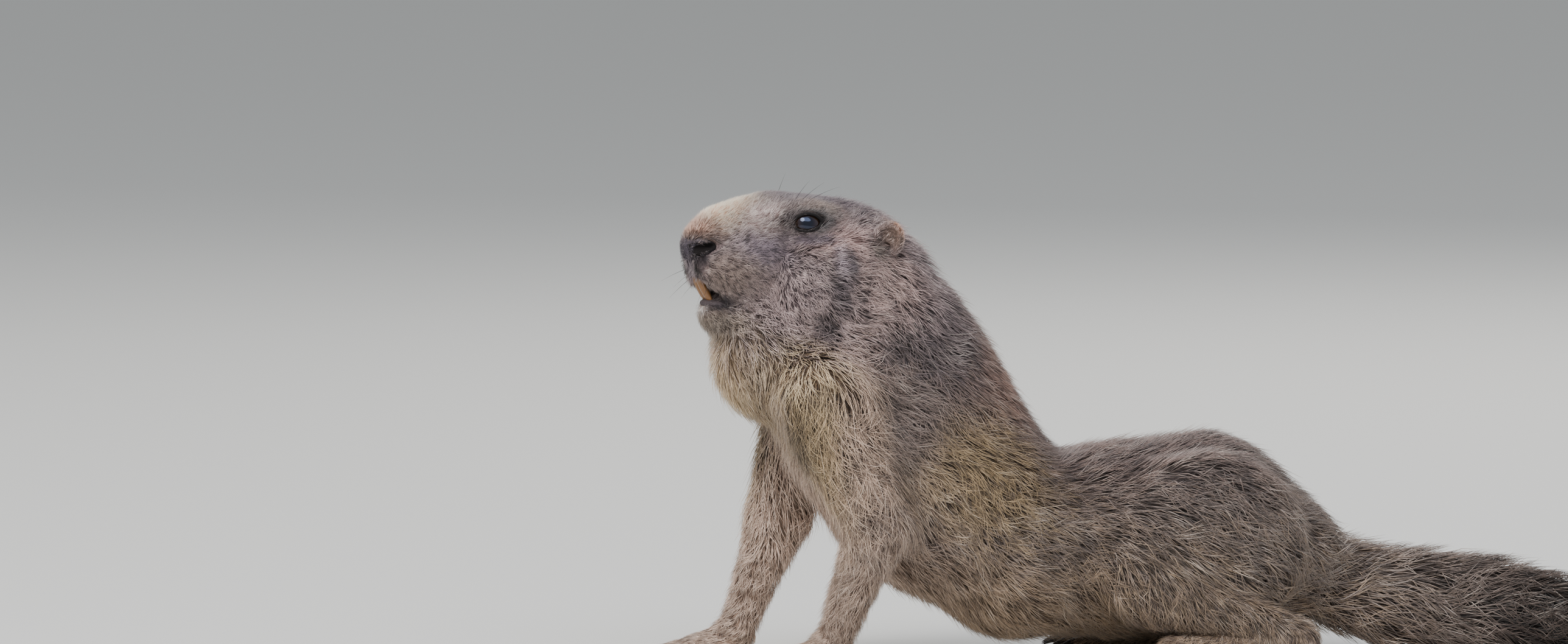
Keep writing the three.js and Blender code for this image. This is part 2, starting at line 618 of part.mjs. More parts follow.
// The face: nose pad, philtrum, mouth and upper incisors
const headAxes = [headBack, headRight, headUp];
const nosePad = (fat) =>
  ball(headPoint([1, 0, 199.5]), [7.5, 8.5, 8.5], fat, headAxes)
    .add(ball(headPoint([8.5, -8, 200.5]), [7.5, 5.5, 4.6], fat, headAxes))
    .add(ball(headPoint([8.5, 8, 200.5]), [7.5, 5.5, 4.6], fat, headAxes));
nodes.nose = largest(nodes.head.intersect(nosePad(0)));
nodes.head = nodes.head.subtract(nosePad(GAP));
insets.push(nosePad);
nodes.head = nodes.head.subtract(ball(headPoint([5, 0, 188]), [4.5, 1, 6.5], 0, headAxes, 2));
const mouthAxes = [headWay(unit([1, 0, -0.08])), headRight, headWay(unit([0.08, 0, 1]))];
nodes.head = nodes.head.subtract(ball(headPoint([15.5, 0, 177.8]), [12, 14.5, 1.3], 0, mouthAxes));
for (const [name, side] of Object.entries(SIDES)) {
  const slit = [headWay(unit([1, side * 0.8, 0.1])), headWay(unit([-0.8, side, 0])), headUp];
  nodes.nose = nodes.nose.subtract(ball(headPoint([6, side * 9, 200]), [5.2, 3, 2.2], 0, slit, 2));
  const toothAxes = [headWay(unit([0.86, 0, 0.51])), headRight, headWay(unit([-0.51, 0, 0.86]))];
  const gum = headPoint([10.6, side * 2.15, 182]);
  const tooth = (fat) => ball(gum, [1.7, 1.85, 7.6], fat, toothAxes, 2);
  nodes["incisor_" + name] = tooth(0);
  nodes.head = nodes.head.subtract(tooth(GAP));
  insets.push(tooth);

  // Eye, in a socket under two lids that leave an almond open
  const eye = headPoint([EYE.x, side * EYE.y, EYE.z]);
  const gaze = headWay(unit([-0.25, side * 0.93, 0.25]));
  const level = unit(times(cross(gaze, headUp), -side));
  const above = unit(minus(headUp, times(gaze, dot(gaze, headUp))));
  const lidWay = unit(plus(above, times(level, 0.1)));
  const round = (radius, detail) => ball(eye, [radius, radius, radius], 0, WORLD, detail);
  const arc = (EYE.wide ** 2 + EYE.open ** 2) / (4 * EYE.open);
  const slant = (sign) => {
    const centre = plus(plus(eye, times(gaze, 6)), times(lidWay, sign * (arc - EYE.open / 2)));
    return ball(centre, [arc, arc, arc], 0, WORLD, 3);
  };
  nodes["eye_" + name] = round(EYE.radius, 3);
  nodes.head = nodes.head.subtract(round(EYE.radius + 1.5 * GAP, 2));
  nodes.head = nodes.head.subtract(slant(1).intersect(slant(-1)));

  // Ear: a small cupped disc, leaning back
  const facing = headWay(unit([-0.45, side * 0.85, 0.1]));
  const tallWay = unit(minus(headWay([0.3, 0, 1]), times(facing, dot(facing, headWay([0.3, 0, 1])))));
  const earAxes = [cross(facing, tallWay), facing, tallWay];
  const middle = headPoint([EAR.x, side * EAR.y, EAR.z]);
  const root = headPoint([EAR.x - 2, side * (EAR.y - 7), EAR.z - 4]);
  const pinna = (fat) =>
    ball(middle, [EAR.wide, EAR.thick, EAR.tall], fat, earAxes)
      .add(ball(root, [5.5, 6, 6], fat, earAxes, 1));
  const cup = plus(middle, plus(times(facing, 3), times(tallWay, -0.8)));
  const opening = plus(middle, plus(times(facing, 1), times(tallWay, -3.6)));
  nodes["ear_" + name] = pinna(0)
    .subtract(ball(cup, [EAR.wide - 2.1, EAR.thick - 0.2, EAR.tall - 2.3], 0, earAxes))
    .subtract(ball(opening, [2.6, 4.6, 2.4], 0, earAxes, 2));
  nodes.head = nodes.head.subtract(pinna(GAP));
  rest = rest.subtract(pinna(GAP));
  insets.push(pinna);
}
nodes.head = largest(nodes.head);

// The parts of a limb are cut out with ovals of these half sizes
const ROOM = {
  forepaw: [46, 23, 17], forearm: [26, 25, 38], upperArm: [32, 27, 50],
  hindfoot: [66, 19, 16], shank: [44, 20, 17], thigh: [55, 32, 44],
};
const leanOf = (top, foot) =>
  tilted(THREE.MathUtils.radToDeg(Math.atan2(top[0] - foot[0], top[2] - foot[2])));
for (const [name, side] of Object.entries(SIDES)) {
  const [shoulder, elbow, wrist] = ["shoulder", "elbow", "wrist"].map((key) => at(side, FORELEGS[name][key]));
  const handLow = [wrist[0] - 56, wrist[1] - 24, -6];
  const hand = floor(netOfBody(handLow, [wrist[0] + 26, wrist[1] + 24, 36], 1.6, 520));
  const middle = plus(times(plus(elbow, wrist), 0.5), [0, 0, 3]);
  const upper = at(side, [(shoulder[0] + elbow[0]) / 2 + 3, 47, 105]);
  claim("forepaw_" + name, oval([wrist[0] - 18, wrist[1], 4], ROOM.forepaw), hand);
  claim("forearm_" + name, oval(middle, ROOM.forearm, leanOf(elbow, wrist)));
  claim("upper_arm_" + name, oval(upper, ROOM.upperArm, leanOf(shoulder, elbow)));

  const [heel, ball] = [at(side, HIND.heel), at(side, HIND.ball)];
  const footLow = [ball[0] - 36, ball[1] - 23, -6];
  const foot = floor(netOfBody(footLow, [heel[0] + 26, ball[1] + 23, 36], 1.6, 620));
  claim("hindfoot_" + name, oval([heel[0] - 42, heel[1] + side * 3, 2], ROOM.hindfoot), foot);
  claim("shank_" + name, oval(at(side, [262, 56, 26]), ROOM.shank, tilted(15)));
  claim("thigh_" + name, oval(at(side, [244, 52, 56]), ROOM.thigh, tilted(6)));
}
const tailWay = (t) => unit(minus(tailPoint(t + 0.01), tailPoint(t - 0.01)));
claim("tail_tip", half(tailPoint(0.55), tailWay(0.55)));
claim("tail_base", half([314, 0, 40], [1, 0, 0.15]));
claim("neck", half([100, 0, 138], [-0.464, 0, 0.886]));
nodes.torso = largest(rest);

// Fewer triangles in each, then what has come to stand out into a neighbour's room is cut back
const TRIANGLES = {
  head: 3000, nose: 400, ear: 300, eye: 180, incisor: 80, neck: 400, torso: 1300, upper: 240,
  forearm: 180, forepaw: 380, thigh: 300, shank: 200, hindfoot: 420, tail: 180,
};
for (const name of Object.keys(nodes)) {
  const net = thinned(netOfSolid(nodes[name]), TRIANGLES[name.split("_")[0]]);
  nodes[name] = largest(floor(solidOfNet(net)));
}
function cutBack(name, region) {
  const clear = nodes[name].subtract(region(GAP / 2));
  if (clear.volume() < nodes[name].volume()) nodes[name] = largest(clear);
}
for (const region of insets) for (const name of ["head", "neck"]) cutBack(name, region);
claims.forEach(({ solid }, i) => {
  for (const { name } of claims.slice(i + 1)) cutBack(name, solid);
  cutBack("torso", solid);
});

// Locks of the long coat, in rings that follow one another along the spine, the limbs and the tail.
// They stand in the core by sunk, keep clear of the floor and move by no more than most at a time
const LOCK = { rings: [0, 0.28, 0.6, 0.85], sunk: 2.6, clear: 4, thick: 2.4, tipThick: 0.9, most: 9 };
const LOWEST_ROOT = 9;
const UNDERSIDE = -0.6;
// What a node that carries locks may come to, in triangles
const SHAGGY = { neck: 900, torso: 2950, tail_base: 760, tail_tip: 560 };
for (const name of Object.keys(SIDES)) {
  SHAGGY["upper_arm_" + name] = 600;
  SHAGGY["thigh_" + name] = 560;
}
let seed = 11;
function random() {
  seed = (seed * 1664525 + 1013904223) % 4294967296;
  return seed / 4294967296;
}
const vary = (amount) => 1 + amount * (2 * random() - 1);
function slopeOf(x, y, z) {
  const h = 0.1;
  const d = body(x, y, z);
  return unit([body(x + h, y, z) - d, body(x, y + h, z) - d, body(x, y, z + h) - d]);
}
const allForms = [
  ...headForms, ...trunkForms, ...tailForms,
  ...forelegForms.left, ...forelegForms.right, ...hindForms.left, ...hindForms.right,
];
// The lie of the hair at a point, from the forms nearest to it
function lieAt([x, y, z]) {
  const away = allForms.map(({ distance }) => distance(x, y, z, 0));
  const low = Math.min(...away);
  const pull = (v, { lie }, i) => plus(v, times(unit(lie), Math.exp((low - away[i]) / 5)));
  return unit(allForms.reduce(pull, [0, 0, 0]));
}
const flatten = (v, normal) => unit(minus(v, times(normal, dot(v, normal))));

// A lock is traced from its root over the core until its tip lies in the coat's outer surface
function traceLock(root, long, wide) {
  const reach = long * vary(0.15);
  const bend = 0.6 * (2 * random() - 1);
  const deep = body(...root) - LOCK.sunk;
  const high = -0.8 + 1.2 * random();
  const stations = [];
  let place = root;
  let before = 0;
  for (const t of [...LOCK.rings, 1]) {
    const normal = slopeOf(...place);
    const way = flatten(lieAt(place), normal);
    const turned = unit(plus(way, times(cross(normal, way), bend * (t - 0.3))));
    place = plus(place, times(turned, reach * (t - before)));
    const up = slopeOf(...place);
    const level = lerp(deep, high, Math.min(1, t / 0.7) ** 0.8);
    place = plus(place, times(up, clamp(level - body(...place), -LOCK.most, LOCK.most)));
    const breadth = wide * (t < 0.4 ? 0.82 + 0.4 * t : 1 - 1.15 * (t - 0.4) ** 1.6);
    const thick = lerp(LOCK.thick, LOCK.tipThick, t);
    stations.push({ place, breadth, thick, up, across: cross(up, turned) });
    before = t;
  }
  return stations;
}
// Its section is a low ridge of two edges and a crest
function lockSolid(stations, fat) {
  const rings = stations.slice(0, -1).map(({ place, breadth, thick, across, up }) => {
    const foot = plus(place, times(up, -0.35 * thick - fat));
    const edge = times(across, breadth + fat);
    return [plus(foot, edge), plus(place, times(up, thick + fat)), minus(foot, edge)];
  });
  const [last, tip] = stations.slice(-2);
  return ringed(rings, plus(tip.place, times(unit(minus(tip.place, last.place)), 2 * fat)));
}
// Where a ray from a point of the axis leaves the core, or null if it doesn't within its length
function rimOf(centre, way, longest) {
  for (let far = 4; far < longest; far += 1.5) {
    const p = plus(centre, times(way, far));
    if (body(...p, CORE) > 0) return p;
  }
  return null;
}
const locks = [];
// A ring of roots around a point of the axis, each about a lock's width from the last
function ringOfLocks(centre, along, { long, wide, reach, turn, of }) {
  const up = flatten(Math.abs(along[2]) > 0.8 ? [1, 0, 0] : [0, 0, 1], along);
  const sideways = cross(along, up);
  let angle = turn;
  while (angle < turn + 2 * Math.PI - 0.12) {
    const way = plus(times(up, Math.cos(angle)), times(sideways, Math.sin(angle)));
    const root = rimOf(centre, way, reach);
    angle += (2.05 * wide) / (root ? Math.hypot(...minus(root, centre)) : 30);
    if (!root || root[2] < LOWEST_ROOT || slopeOf(...root)[2] < UNDERSIDE) continue;
    const node = nodeAt(root);
    if (!node.startsWith(of)) continue;
    const stations = traceLock(root, long, wide);
    if (Math.min(...stations.map(({ place }) => place[2])) < LOCK.clear) continue;
    locks.push({ node, solid: lockSolid(stations, 0), fat: lockSolid(stations, GAP) });
  }
}
// Rings at an even pace along a line of points
function chainOfLocks(line, pace, size) {
  let offset = 0;
  let turn = 0;
  for (let i = 1; i < line.length; i++) {
    const way = minus(line[i], line[i - 1]);
    const length = Math.hypot(...way);
    for (; offset < length; offset += pace) {
      turn = turn ? 0 : size.wide / 42;
      ringOfLocks(plus(line[i - 1], times(unit(way), offset)), unit(way), { ...size, turn });
    }
    offset -= length;
  }
}
const spine = STATIONS.map(({ x, z }) => [x, 0, z]);
chainOfLocks([[72, 0, 186], ...spine], 14, { long: 32, wide: 9.5, reach: 70, of: "neck" });
chainOfLocks(spine, 23, { long: 44, wide: 11.5, reach: 80, of: "torso" });
for (const [name, side] of Object.entries(SIDES)) {
  const { shoulder, elbow, wrist } = FORELEGS[name];
  const blade = [shoulder[0] + 8, side * 30, shoulder[2] + 16];
  const line = [blade, at(side, elbow), at(side, wrist)];
  chainOfLocks(line, 15, { long: 30, wide: 7.5, reach: 45, of: "upper_arm" });
}
chainOfLocks([[206, 0, 58], [300, 0, 50]], 19, { long: 32, wide: 11.5, reach: 90, of: "thigh" });
const TAIL_RINGS = 12;
const tailLine = Array.from({ length: TAIL_RINGS }, (_, i) => tailPoint(0.03 + (0.9 * i) / TAIL_RINGS));
chainOfLocks(tailLine, 20, { long: 36, wide: 9, reach: 30, of: "tail" });

// A lock stays only if it is clear of every other node and of the locks kept before it in others
const cores = Object.entries(nodes);
const kept = [];
for (const lock of locks) {
  const others = kept.filter(({ node }) => node !== lock.node);
  if (cores.some(([name, core]) => name !== lock.node && clash(lock.fat, core))) continue;
  if (!others.some(({ solid }) => clash(lock.fat, solid))) kept.push(lock);
}
const BESIDE = 1.2;
const beside = (p) => claims.some(({ depth }) => Math.abs(depth(p)) < BESIDE);
for (const [name, most] of Object.entries(SHAGGY)) {
  const own = kept.filter(({ node }) => node === name).map(({ solid }) => solid);
  const made = largest(wasm.Manifold.union([nodes[name], ...own]));
  nodes[name] = largest(solidOfNet(thinned(netOfSolid(made), most, beside)));
}
for (const name of Object.keys(SHAGGY)) {
  for (const [other, solid] of Object.entries(nodes)) {
    if (other === name || !clash(nodes[name], solid)) continue;
    nodes[name] = largest(nodes[name].subtract(fattened(solid, GAP / 2)).subtract(solid));
  }
}

// Claws, bent down a little to just over the floor
const CLAW_SIDES = 6;
const CLAW_TIP_HEIGHT = 1.2;
for (const { name, foot, knuckle, tip, length } of claws) {
  const way = unit([tip[0] - knuckle[0], tip[1] - knuckle[1], 0]);
  const across = [-way[1], way[0], 0];
  const base = plus(tip, [0, 0, 1]);
  const drop = base[2] - CLAW_TIP_HEIGHT;
  const claw = (fat) => {
    const rings = [-0.25, 0, 0.35, 0.7].map((t) => {
      const place = plus(base, [way[0] * length * t, way[1] * length * t, -drop * t * t]);
      const wide = lerp(1.7, 0.7, Math.max(t, 0)) + fat;
      const thick = lerp(2.1, 0.8, Math.max(t, 0)) + fat;
      return Array.from({ length: CLAW_SIDES }, (_, k) => {
        const a = (2 * Math.PI * k) / CLAW_SIDES;
        return plus(place, plus(times(across, wide * Math.cos(a)), times(headUp, thick * Math.sin(a))));
      });
    });
    return ringed(rings, plus(base, [way[0] * (length + fat), way[1] * (length + fat), -drop]));
  };
  nodes[name] = claw(0);
  nodes[foot] = largest(nodes[foot].subtract(claw(GAP)));
}

const matt = { roughness: 0.95, metalness: 0 };
const LOOKS = [
  [/^head/, { color: "#80736b", ...matt }],
  [/^nose/, { color: "#2d2c36", roughness: 0.5, metalness: 0 }],
  [/^ear/, { color: "#a07c5c", ...matt }],
  [/^eye/, { color: "#15131a", roughness: 0.08, metalness: 0 }],
  [/^incisor/, { color: "#d98a2b", roughness: 0.35, metalness: 0 }],
  [/^neck/, { color: "#94816c", ...matt }],
  [/^torso/, { color: "#7c6a5c", ...matt }],
  [/^upper_arm/, { color: "#b39b78", ...matt }],
  [/^fore(arm|paw)/, { color: "#c2a88c", ...matt }],
  [/^thigh/, { color: "#8a7560", ...matt }],
  [/^(shank|hindfoot)/, { color: "#a58c74", ...matt }],
  [/^tail_base/, { color: "#6b584a", ...matt }],
  [/^tail_tip/, { color: "#4a3c34", ...matt }],
  [/^claw/, { color: "#2e2825", roughness: 0.4, metalness: 0 }],
];

const marmot = new THREE.Group();
const whole = new THREE.Box3();
for (const [name, made] of Object.entries(nodes)) {
  const mesh = made.getMesh();
  const geometry = new THREE.BufferGeometry();
  geometry.setAttribute("position", new THREE.BufferAttribute(mesh.vertProperties, 3));
  geometry.setIndex(new THREE.BufferAttribute(mesh.triVerts, 1));
  geometry.computeVertexNormals();
  geometry.computeBoundingBox();
  whole.union(geometry.boundingBox);
  const look = LOOKS.find(([kind]) => kind.test(name))[1];
  const shape = new THREE.Mesh(geometry, new THREE.MeshStandardMaterial(look));
  shape.name = name;
  marmot.add(shape);
}
// The origin is under the middle of the whole, on the floor
marmot.position.set(-(whole.min.x + whole.max.x) / 2, -(whole.min.y + whole.max.y) / 2, 0);
export default marmot;
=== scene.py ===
"""An alpine marmot at life size: skin, coat, nose, eyes, teeth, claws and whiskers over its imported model.

Forms are in millimetres in the maker's frame: nose towards -X, its left side towards -Y, floor at z = 0.
metres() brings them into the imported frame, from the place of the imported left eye."""

import math

import bmesh
import bpy
import numpy as np
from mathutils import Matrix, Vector
from mathutils.kdtree import KDTree


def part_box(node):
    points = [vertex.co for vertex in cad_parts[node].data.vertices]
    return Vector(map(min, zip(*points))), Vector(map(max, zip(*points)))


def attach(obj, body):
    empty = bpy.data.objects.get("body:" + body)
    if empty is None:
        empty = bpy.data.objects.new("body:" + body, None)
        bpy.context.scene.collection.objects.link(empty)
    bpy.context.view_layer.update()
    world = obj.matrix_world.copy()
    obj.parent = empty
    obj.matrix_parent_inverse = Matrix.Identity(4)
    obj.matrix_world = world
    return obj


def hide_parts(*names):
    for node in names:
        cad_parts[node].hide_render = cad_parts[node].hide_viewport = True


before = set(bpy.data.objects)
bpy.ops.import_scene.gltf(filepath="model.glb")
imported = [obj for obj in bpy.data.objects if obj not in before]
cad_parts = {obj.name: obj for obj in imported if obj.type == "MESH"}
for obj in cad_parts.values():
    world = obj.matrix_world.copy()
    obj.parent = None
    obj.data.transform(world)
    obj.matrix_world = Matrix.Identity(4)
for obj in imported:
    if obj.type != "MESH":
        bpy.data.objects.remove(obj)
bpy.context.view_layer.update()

SIDES = {"left": -1, "right": 1}
MM = 0.001
rng = np.random.default_rng(20)


def unit(v):
    v = np.asarray(v, float)
    return v / np.maximum(np.linalg.norm(v, axis=-1, keepdims=True), 1e-12)


def rows_dot(a, b):
    return np.einsum("ij,ij->i", a, b)


# The head has a frame of its own: x back from the nose, y to its right, z over the floor
HEAD_TURN = math.radians(7)
NAPE_X = 91.5
HEAD_PIVOT = 95
HEAD_BACK = np.array([math.cos(HEAD_TURN), math.sin(HEAD_TURN), 0])
HEAD_RIGHT = np.array([-math.sin(HEAD_TURN), math.cos(HEAD_TURN), 0])
UP = np.array([0.0, 0.0, 1.0])
HEAD_AXES = np.array([HEAD_BACK, HEAD_RIGHT, UP])


def head_way(v):
    return np.asarray(v, float) @ HEAD_AXES


def head_point(p):
    return np.array([NAPE_X, 0, 0]) + head_way(np.asarray(p, float) - [HEAD_PIVOT, 0, 0])


def in_head(points):
    """Places in the head's own frame."""
    return (points - [NAPE_X, 0, 0]) @ HEAD_AXES.T + [HEAD_PIVOT, 0, 0]


EYE = {"x": 55, "y": 21.8, "z": 211.5, "radius": 6.9}
EAR = {"x": 93.5, "y": 28.5, "z": 204, "wide": 7.6, "tall": 8.8, "thick": 3.6}


def eye_centre(side):
    return head_point([EYE["x"], side * EYE["y"], EYE["z"]])


ORIGIN = np.array(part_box("eye_left")).mean(axis=0) / MM - eye_centre(SIDES["left"])


def metres(points):
    return (np.asarray(points, float) + ORIGIN) * MM


# Forms of the body, as in the solids
class Form:
    """A rounded volume with its distance function, its coat's depth and the lie of its hair."""

    def __init__(self, distance, coat, lie, middle, reach):
        self.distance = distance
        self.coat = coat
        self.lie = unit(lie)
        self.middle = np.asarray(middle, float)
        self.reach = reach


def oval_distance(points, centre, radii, axes):
    """About how far each point lies outside an oval."""
    radii = np.asarray(radii, float)
    q = (points - centre) @ axes.T
    near = np.linalg.norm(q / radii, axis=1)
    slope = np.linalg.norm(q / radii**2, axis=1)
    return near * (near - 1) / np.maximum(slope, 1e-9)


def ellipsoid(centre, radii, coat, lie, axes=np.eye(3)):
    centre = np.asarray(centre, float)
    radii = np.asarray(radii, float)
    axes = np.asarray(axes, float)

    def distance(points, inset):
        return oval_distance(points, centre, radii - inset, axes)

    return Form(distance, coat, lie, centre, radii.max())


def cone(start, end, start_radius, end_radius, coat, lie, broad=1.0):
    start = np.asarray(start, float)
    way = np.asarray(end, float) - start
    shrink = np.array([1, 1 / broad, 1])
    narrowed = way * shrink
    square = narrowed @ narrowed

    def distance(points, inset):
        q = (points - start) * shrink
        t = np.clip(q @ narrowed / square, 0, 1)
        r = start_radius + (end_radius - start_radius) * t - inset
        return np.linalg.norm(q - t[:, None] * narrowed, axis=1) - r

    reach = np.linalg.norm(way) / 2 + max(start_radius, end_radius) * broad
    return Form(distance, coat, lie, start + way / 2, reach)


def trunk_piece(a, b):
    """The trunk between two stations, each an oval ring on the body's middle line."""
    way = np.array([b["x"] - a["x"], b["z"] - a["z"]], float)
    square = way @ way

    def distance(points, inset):
        q = points[:, [0, 2]] - [a["x"], a["z"]]
        t = np.clip(q @ way / square, 0, 1)
        tall = a["tall"] + (b["tall"] - a["tall"]) * t - inset
        wide = a["wide"] + (b["wide"] - a["wide"]) * t - inset
        off = np.linalg.norm(q - t[:, None] * way, axis=1)
        near = np.hypot(off / tall, points[:, 1] / wide)
        slope = np.hypot(off / tall**2, points[:, 1] / wide**2)
        return near * (near - 1) / np.maximum(slope, 1e-9)

    middle = [(a["x"] + b["x"]) / 2, 0, (a["z"] + b["z"]) / 2]
    reach = math.sqrt(square) / 2 + max(a["tall"], a["wide"], b["tall"], b["wide"])
    lie = np.add(a["lie"], b["lie"])
    return Form(distance, (a["coat"] + b["coat"]) / 2, lie, middle, reach)


def tilted(degrees):
    """Axes turned about the body's cross axis."""
    a = math.radians(degrees)
    return np.array([[math.cos(a), 0, -math.sin(a)], [0, 1, 0], [math.sin(a), 0, math.cos(a)]])


def mirrored(side, point):
    return np.array([point[0], side * point[1], point[2]], float)


# Depth of the coat on each part
COAT = {
    "face": 2.5, "lip": 0.8, "cheek": 5, "neck": 12, "chest": 12, "back": 12, "shoulder": 14,
    "arm": 12, "forearm": 6, "hand": 1.5, "thigh": 11, "foot": 2, "tail": 15,
}
BACKWARD = [1, 0, -0.1]
DOWN_THE_NECK = [0.62, 0, -0.78]
DOWN_THE_CHEST = [0.5, 0, -0.87]
FLAT = 0.6
CROWN = 193
HAUNCH = 112


def head_form(centre, radii, coat, lie):
    return ellipsoid(head_point(centre), radii, COAT[coat], head_way(lie), HEAD_AXES)


def head_cone(start, end, start_radius, end_radius, coat, lie, broad=1.0):
    ends = head_point(start), head_point(end)
    return cone(*ends, start_radius, end_radius, COAT[coat], head_way(lie), broad)


head_forms = [
    head_form([75, 0, CROWN], [30.5, 28.5, 28], "cheek", [1, 0, 0.1]),
    head_form([58, 0, CROWN + 10], [26, 21, 19.5], "face", [1, 0, 0.2]),
    head_cone([21, 0, 207.8], [45.1, 0, 205.8], 13.4, 18.6, "face", [1, 0, 0.25], 1.12),
    head_form([15, 0, CROWN + 9.5], [14.5, 12.5, 14], "face", [1, 0, 0.5]),
    head_cone([17, 0, 169.5], [56, 0, 171], 9, 18, "face", [1, 0, -0.4], 1.15),
]
lip_forms = []
for side in SIDES.values():
    head_forms += [
        head_form([17.5, side * 8.5, 192.5], [13.5, 9, 10.5], "face", [1, side * 0.3, -0.4]),
        head_form([40, side * 9, 193], [28, 14, 19], "face", [1, side * 0.2, -0.2]),
        head_form([68, side * 22, 184], [27, 18, 25], "cheek", [1, side * 0.2, -0.6]),
        head_form([57, side * 14, CROWN + 17.5], [19, 13, 12.5], "face", [1, side * 0.2, 0.2]),
    ]
    lid = EYE["radius"] + 1.8
    lip_forms += [
        head_cone([8.5, side * 4, 186.5], [28, side * 12.5, 177], 2.6, 2.4, "lip", [1, side, -0.5]),
        head_cone([10.5, side * 3, 176.6], [28, side * 12, 170.5], 2.9, 2.4, "face", [0.6, side, -0.9]),
        head_form([9, side * 5.5, 185.2], [4.4, 4.2, 5.0], "face", [0.5, side * 0.3, -1]),
        head_form([18.8, side * 10.5, 179], [6.8, 3.2, 3.6], "face", [1, side * 0.3, -0.8]),
        head_form([EYE["x"], side * EYE["y"], EYE["z"]], [lid, lid, lid], "lip", [1, 0, 0]),
    ]

STATIONS = [
    {"x": 82, "z": 170, "tall": 45, "wide": 40, "coat": COAT["neck"], "lie": DOWN_THE_NECK},
    {"x": 93, "z": 141, "tall": 53, "wide": 46, "coat": COAT["neck"], "lie": DOWN_THE_NECK},
    {"x": 107, "z": 115, "tall": 55, "wide": 50, "coat": COAT["back"], "lie": DOWN_THE_NECK},
    {"x": 125, "z": 87, "tall": 54, "wide": 53, "coat": COAT["back"], "lie": [0.7, 0, -0.7]},
    {"x": 163, "z": HAUNCH - 55, "tall": 45, "wide": 57, "coat": COAT["back"], "lie": [0.9, 0, -0.4]},
    {"x": 212, "z": HAUNCH - 54, "tall": 47, "wide": 58, "coat": COAT["back"], "lie": BACKWARD},
    {"x": 256, "z": HAUNCH - 52, "tall": 49, "wide": 54, "coat": COAT["back"], "lie": BACKWARD},
    {"x": 288, "z": 51, "tall": 35, "wide": 41, "coat": COAT["back"], "lie": [0.9, 0, -0.4]},
]
trunk_forms = [trunk_piece(a, b) for a, b in zip(STATIONS, STATIONS[1:])]
trunk_forms.append(ellipsoid([46, -4, 148], [33, 35, 33], COAT["chest"], DOWN_THE_CHEST))

FORELEGS = {
    "left": {"shoulder": [61, 42, 129], "elbow": [84, 46, 70], "wrist": [64, 38, 14]},
    "right": {"shoulder": [75, 42, 126], "elbow": [59, 44, 69], "wrist": [36, 37, 14]},
}
FINGER = {"length": 17, "radius": 4.2, "spread": 7.2, "count": 4, "claw": 12}
PALM_LENGTH = 22
HIND = {"knee": [214, 50, 46], "heel": [288, 52, 9.9], "ball": [226, 57, 8.9]}
TOE = {"length": 18, "radius": 4.4, "spread": 6.4, "count": 5, "claw": 10}
foreleg_forms, hand_forms, hind_forms, sole_forms = {}, {}, {}, {}
claws = []
for name, side in SIDES.items():
    leg = FORELEGS[name]
    shoulder, elbow, wrist = (mirrored(side, leg[key]) for key in ("shoulder", "elbow", "wrist"))
    blade = mirrored(side, [leg["shoulder"][0] + 10, 36, leg["shoulder"][2] - 8])
    foreleg_forms[name] = [
        ellipsoid(blade, [30, 21, 38], COAT["shoulder"], [0.5, side * 0.2, -0.85], tilted(-14)),
        cone(shoulder, elbow, 25, 16.5, COAT["arm"], [0.2, side * 0.1, -1]),
        cone(elbow, wrist, 15.5, 10, COAT["forearm"], [-0.3, 0, -1]),
    ]
    palm = wrist + [-PALM_LENGTH / 2 - 1, 0, 8 - FLAT - wrist[2]]
    hand_forms[name] = [
        ellipsoid(palm, [PALM_LENGTH * 0.72, 13, 8], COAT["hand"], [-1, 0, -0.2]),
        cone(wrist, wrist + [-8, 0, -4], 9.5, 8.5, COAT["hand"], [-1, 0, -0.5]),
    ]
    for i in range(FINGER["count"]):
        across = (i - (FINGER["count"] - 1) / 2) * FINGER["spread"]
        reach = FINGER["length"] * (1 - 0.09 * abs(i - 1.3))
        r = FINGER["radius"]
        knuckle = wrist + [-PALM_LENGTH, across * 0.72, -7]
        tip = wrist + [-PALM_LENGTH - reach, across, r - FLAT - wrist[2]]
        hand_forms[name].append(cone(knuckle, tip, r + 0.6, r, COAT["hand"], [-1, 0, -0.2]))
        claws.append((f"claw_fore_{name}_{i + 1}", knuckle, tip, FINGER["claw"]))

    knee, heel, ball = (mirrored(side, HIND[key]) for key in ("knee", "heel", "ball"))
    thigh = mirrored(side, [247, 40, 59])
    shank = knee + [6, side * 3, -10]
    hind_forms[name] = [
        ellipsoid(thigh, [50, 25, 45], COAT["thigh"], [0.75, side * 0.1, -0.7], tilted(8)),
        ellipsoid(knee, [24, 17, 25], COAT["thigh"], [0.6, side * 0.1, -0.9]),
        cone(shank, heel + [0, 0, 5], 17, 11, COAT["forearm"], [0.4, 0, -1]),
    ]
    sole_forms[name] = [cone(heel, ball, 10.5, 9.5, COAT["foot"], [-1, 0, -0.3], 1.2)]
    for i in range(TOE["count"]):
        across = (i - (TOE["count"] - 1) / 2) * TOE["spread"]
        reach = TOE["length"] * (1 - 0.1 * abs(i - 2))
        r = TOE["radius"]
        knuckle = ball + [-5, across * 0.66, -2.6]
        tip = ball + [-5 - reach, across + side * 1.5, r - FLAT - ball[2]]
        sole_forms[name].append(cone(knuckle, tip, r + 0.5, r, COAT["foot"], [-1, 0, -0.3]))
        claws.append((f"claw_hind_{name}_{i + 1}", knuckle, tip, TOE["claw"]))

TAIL_ROOT = [304, 0, 38]
TAIL_LENGTH = 172
TAIL_SWEEP = math.radians(72)
TAIL_STEPS = 8


def tail_radius(t):
    return 9 + 18 * math.sin(math.pi * min(1, 0.28 + 0.66 * t)) ** 0.75


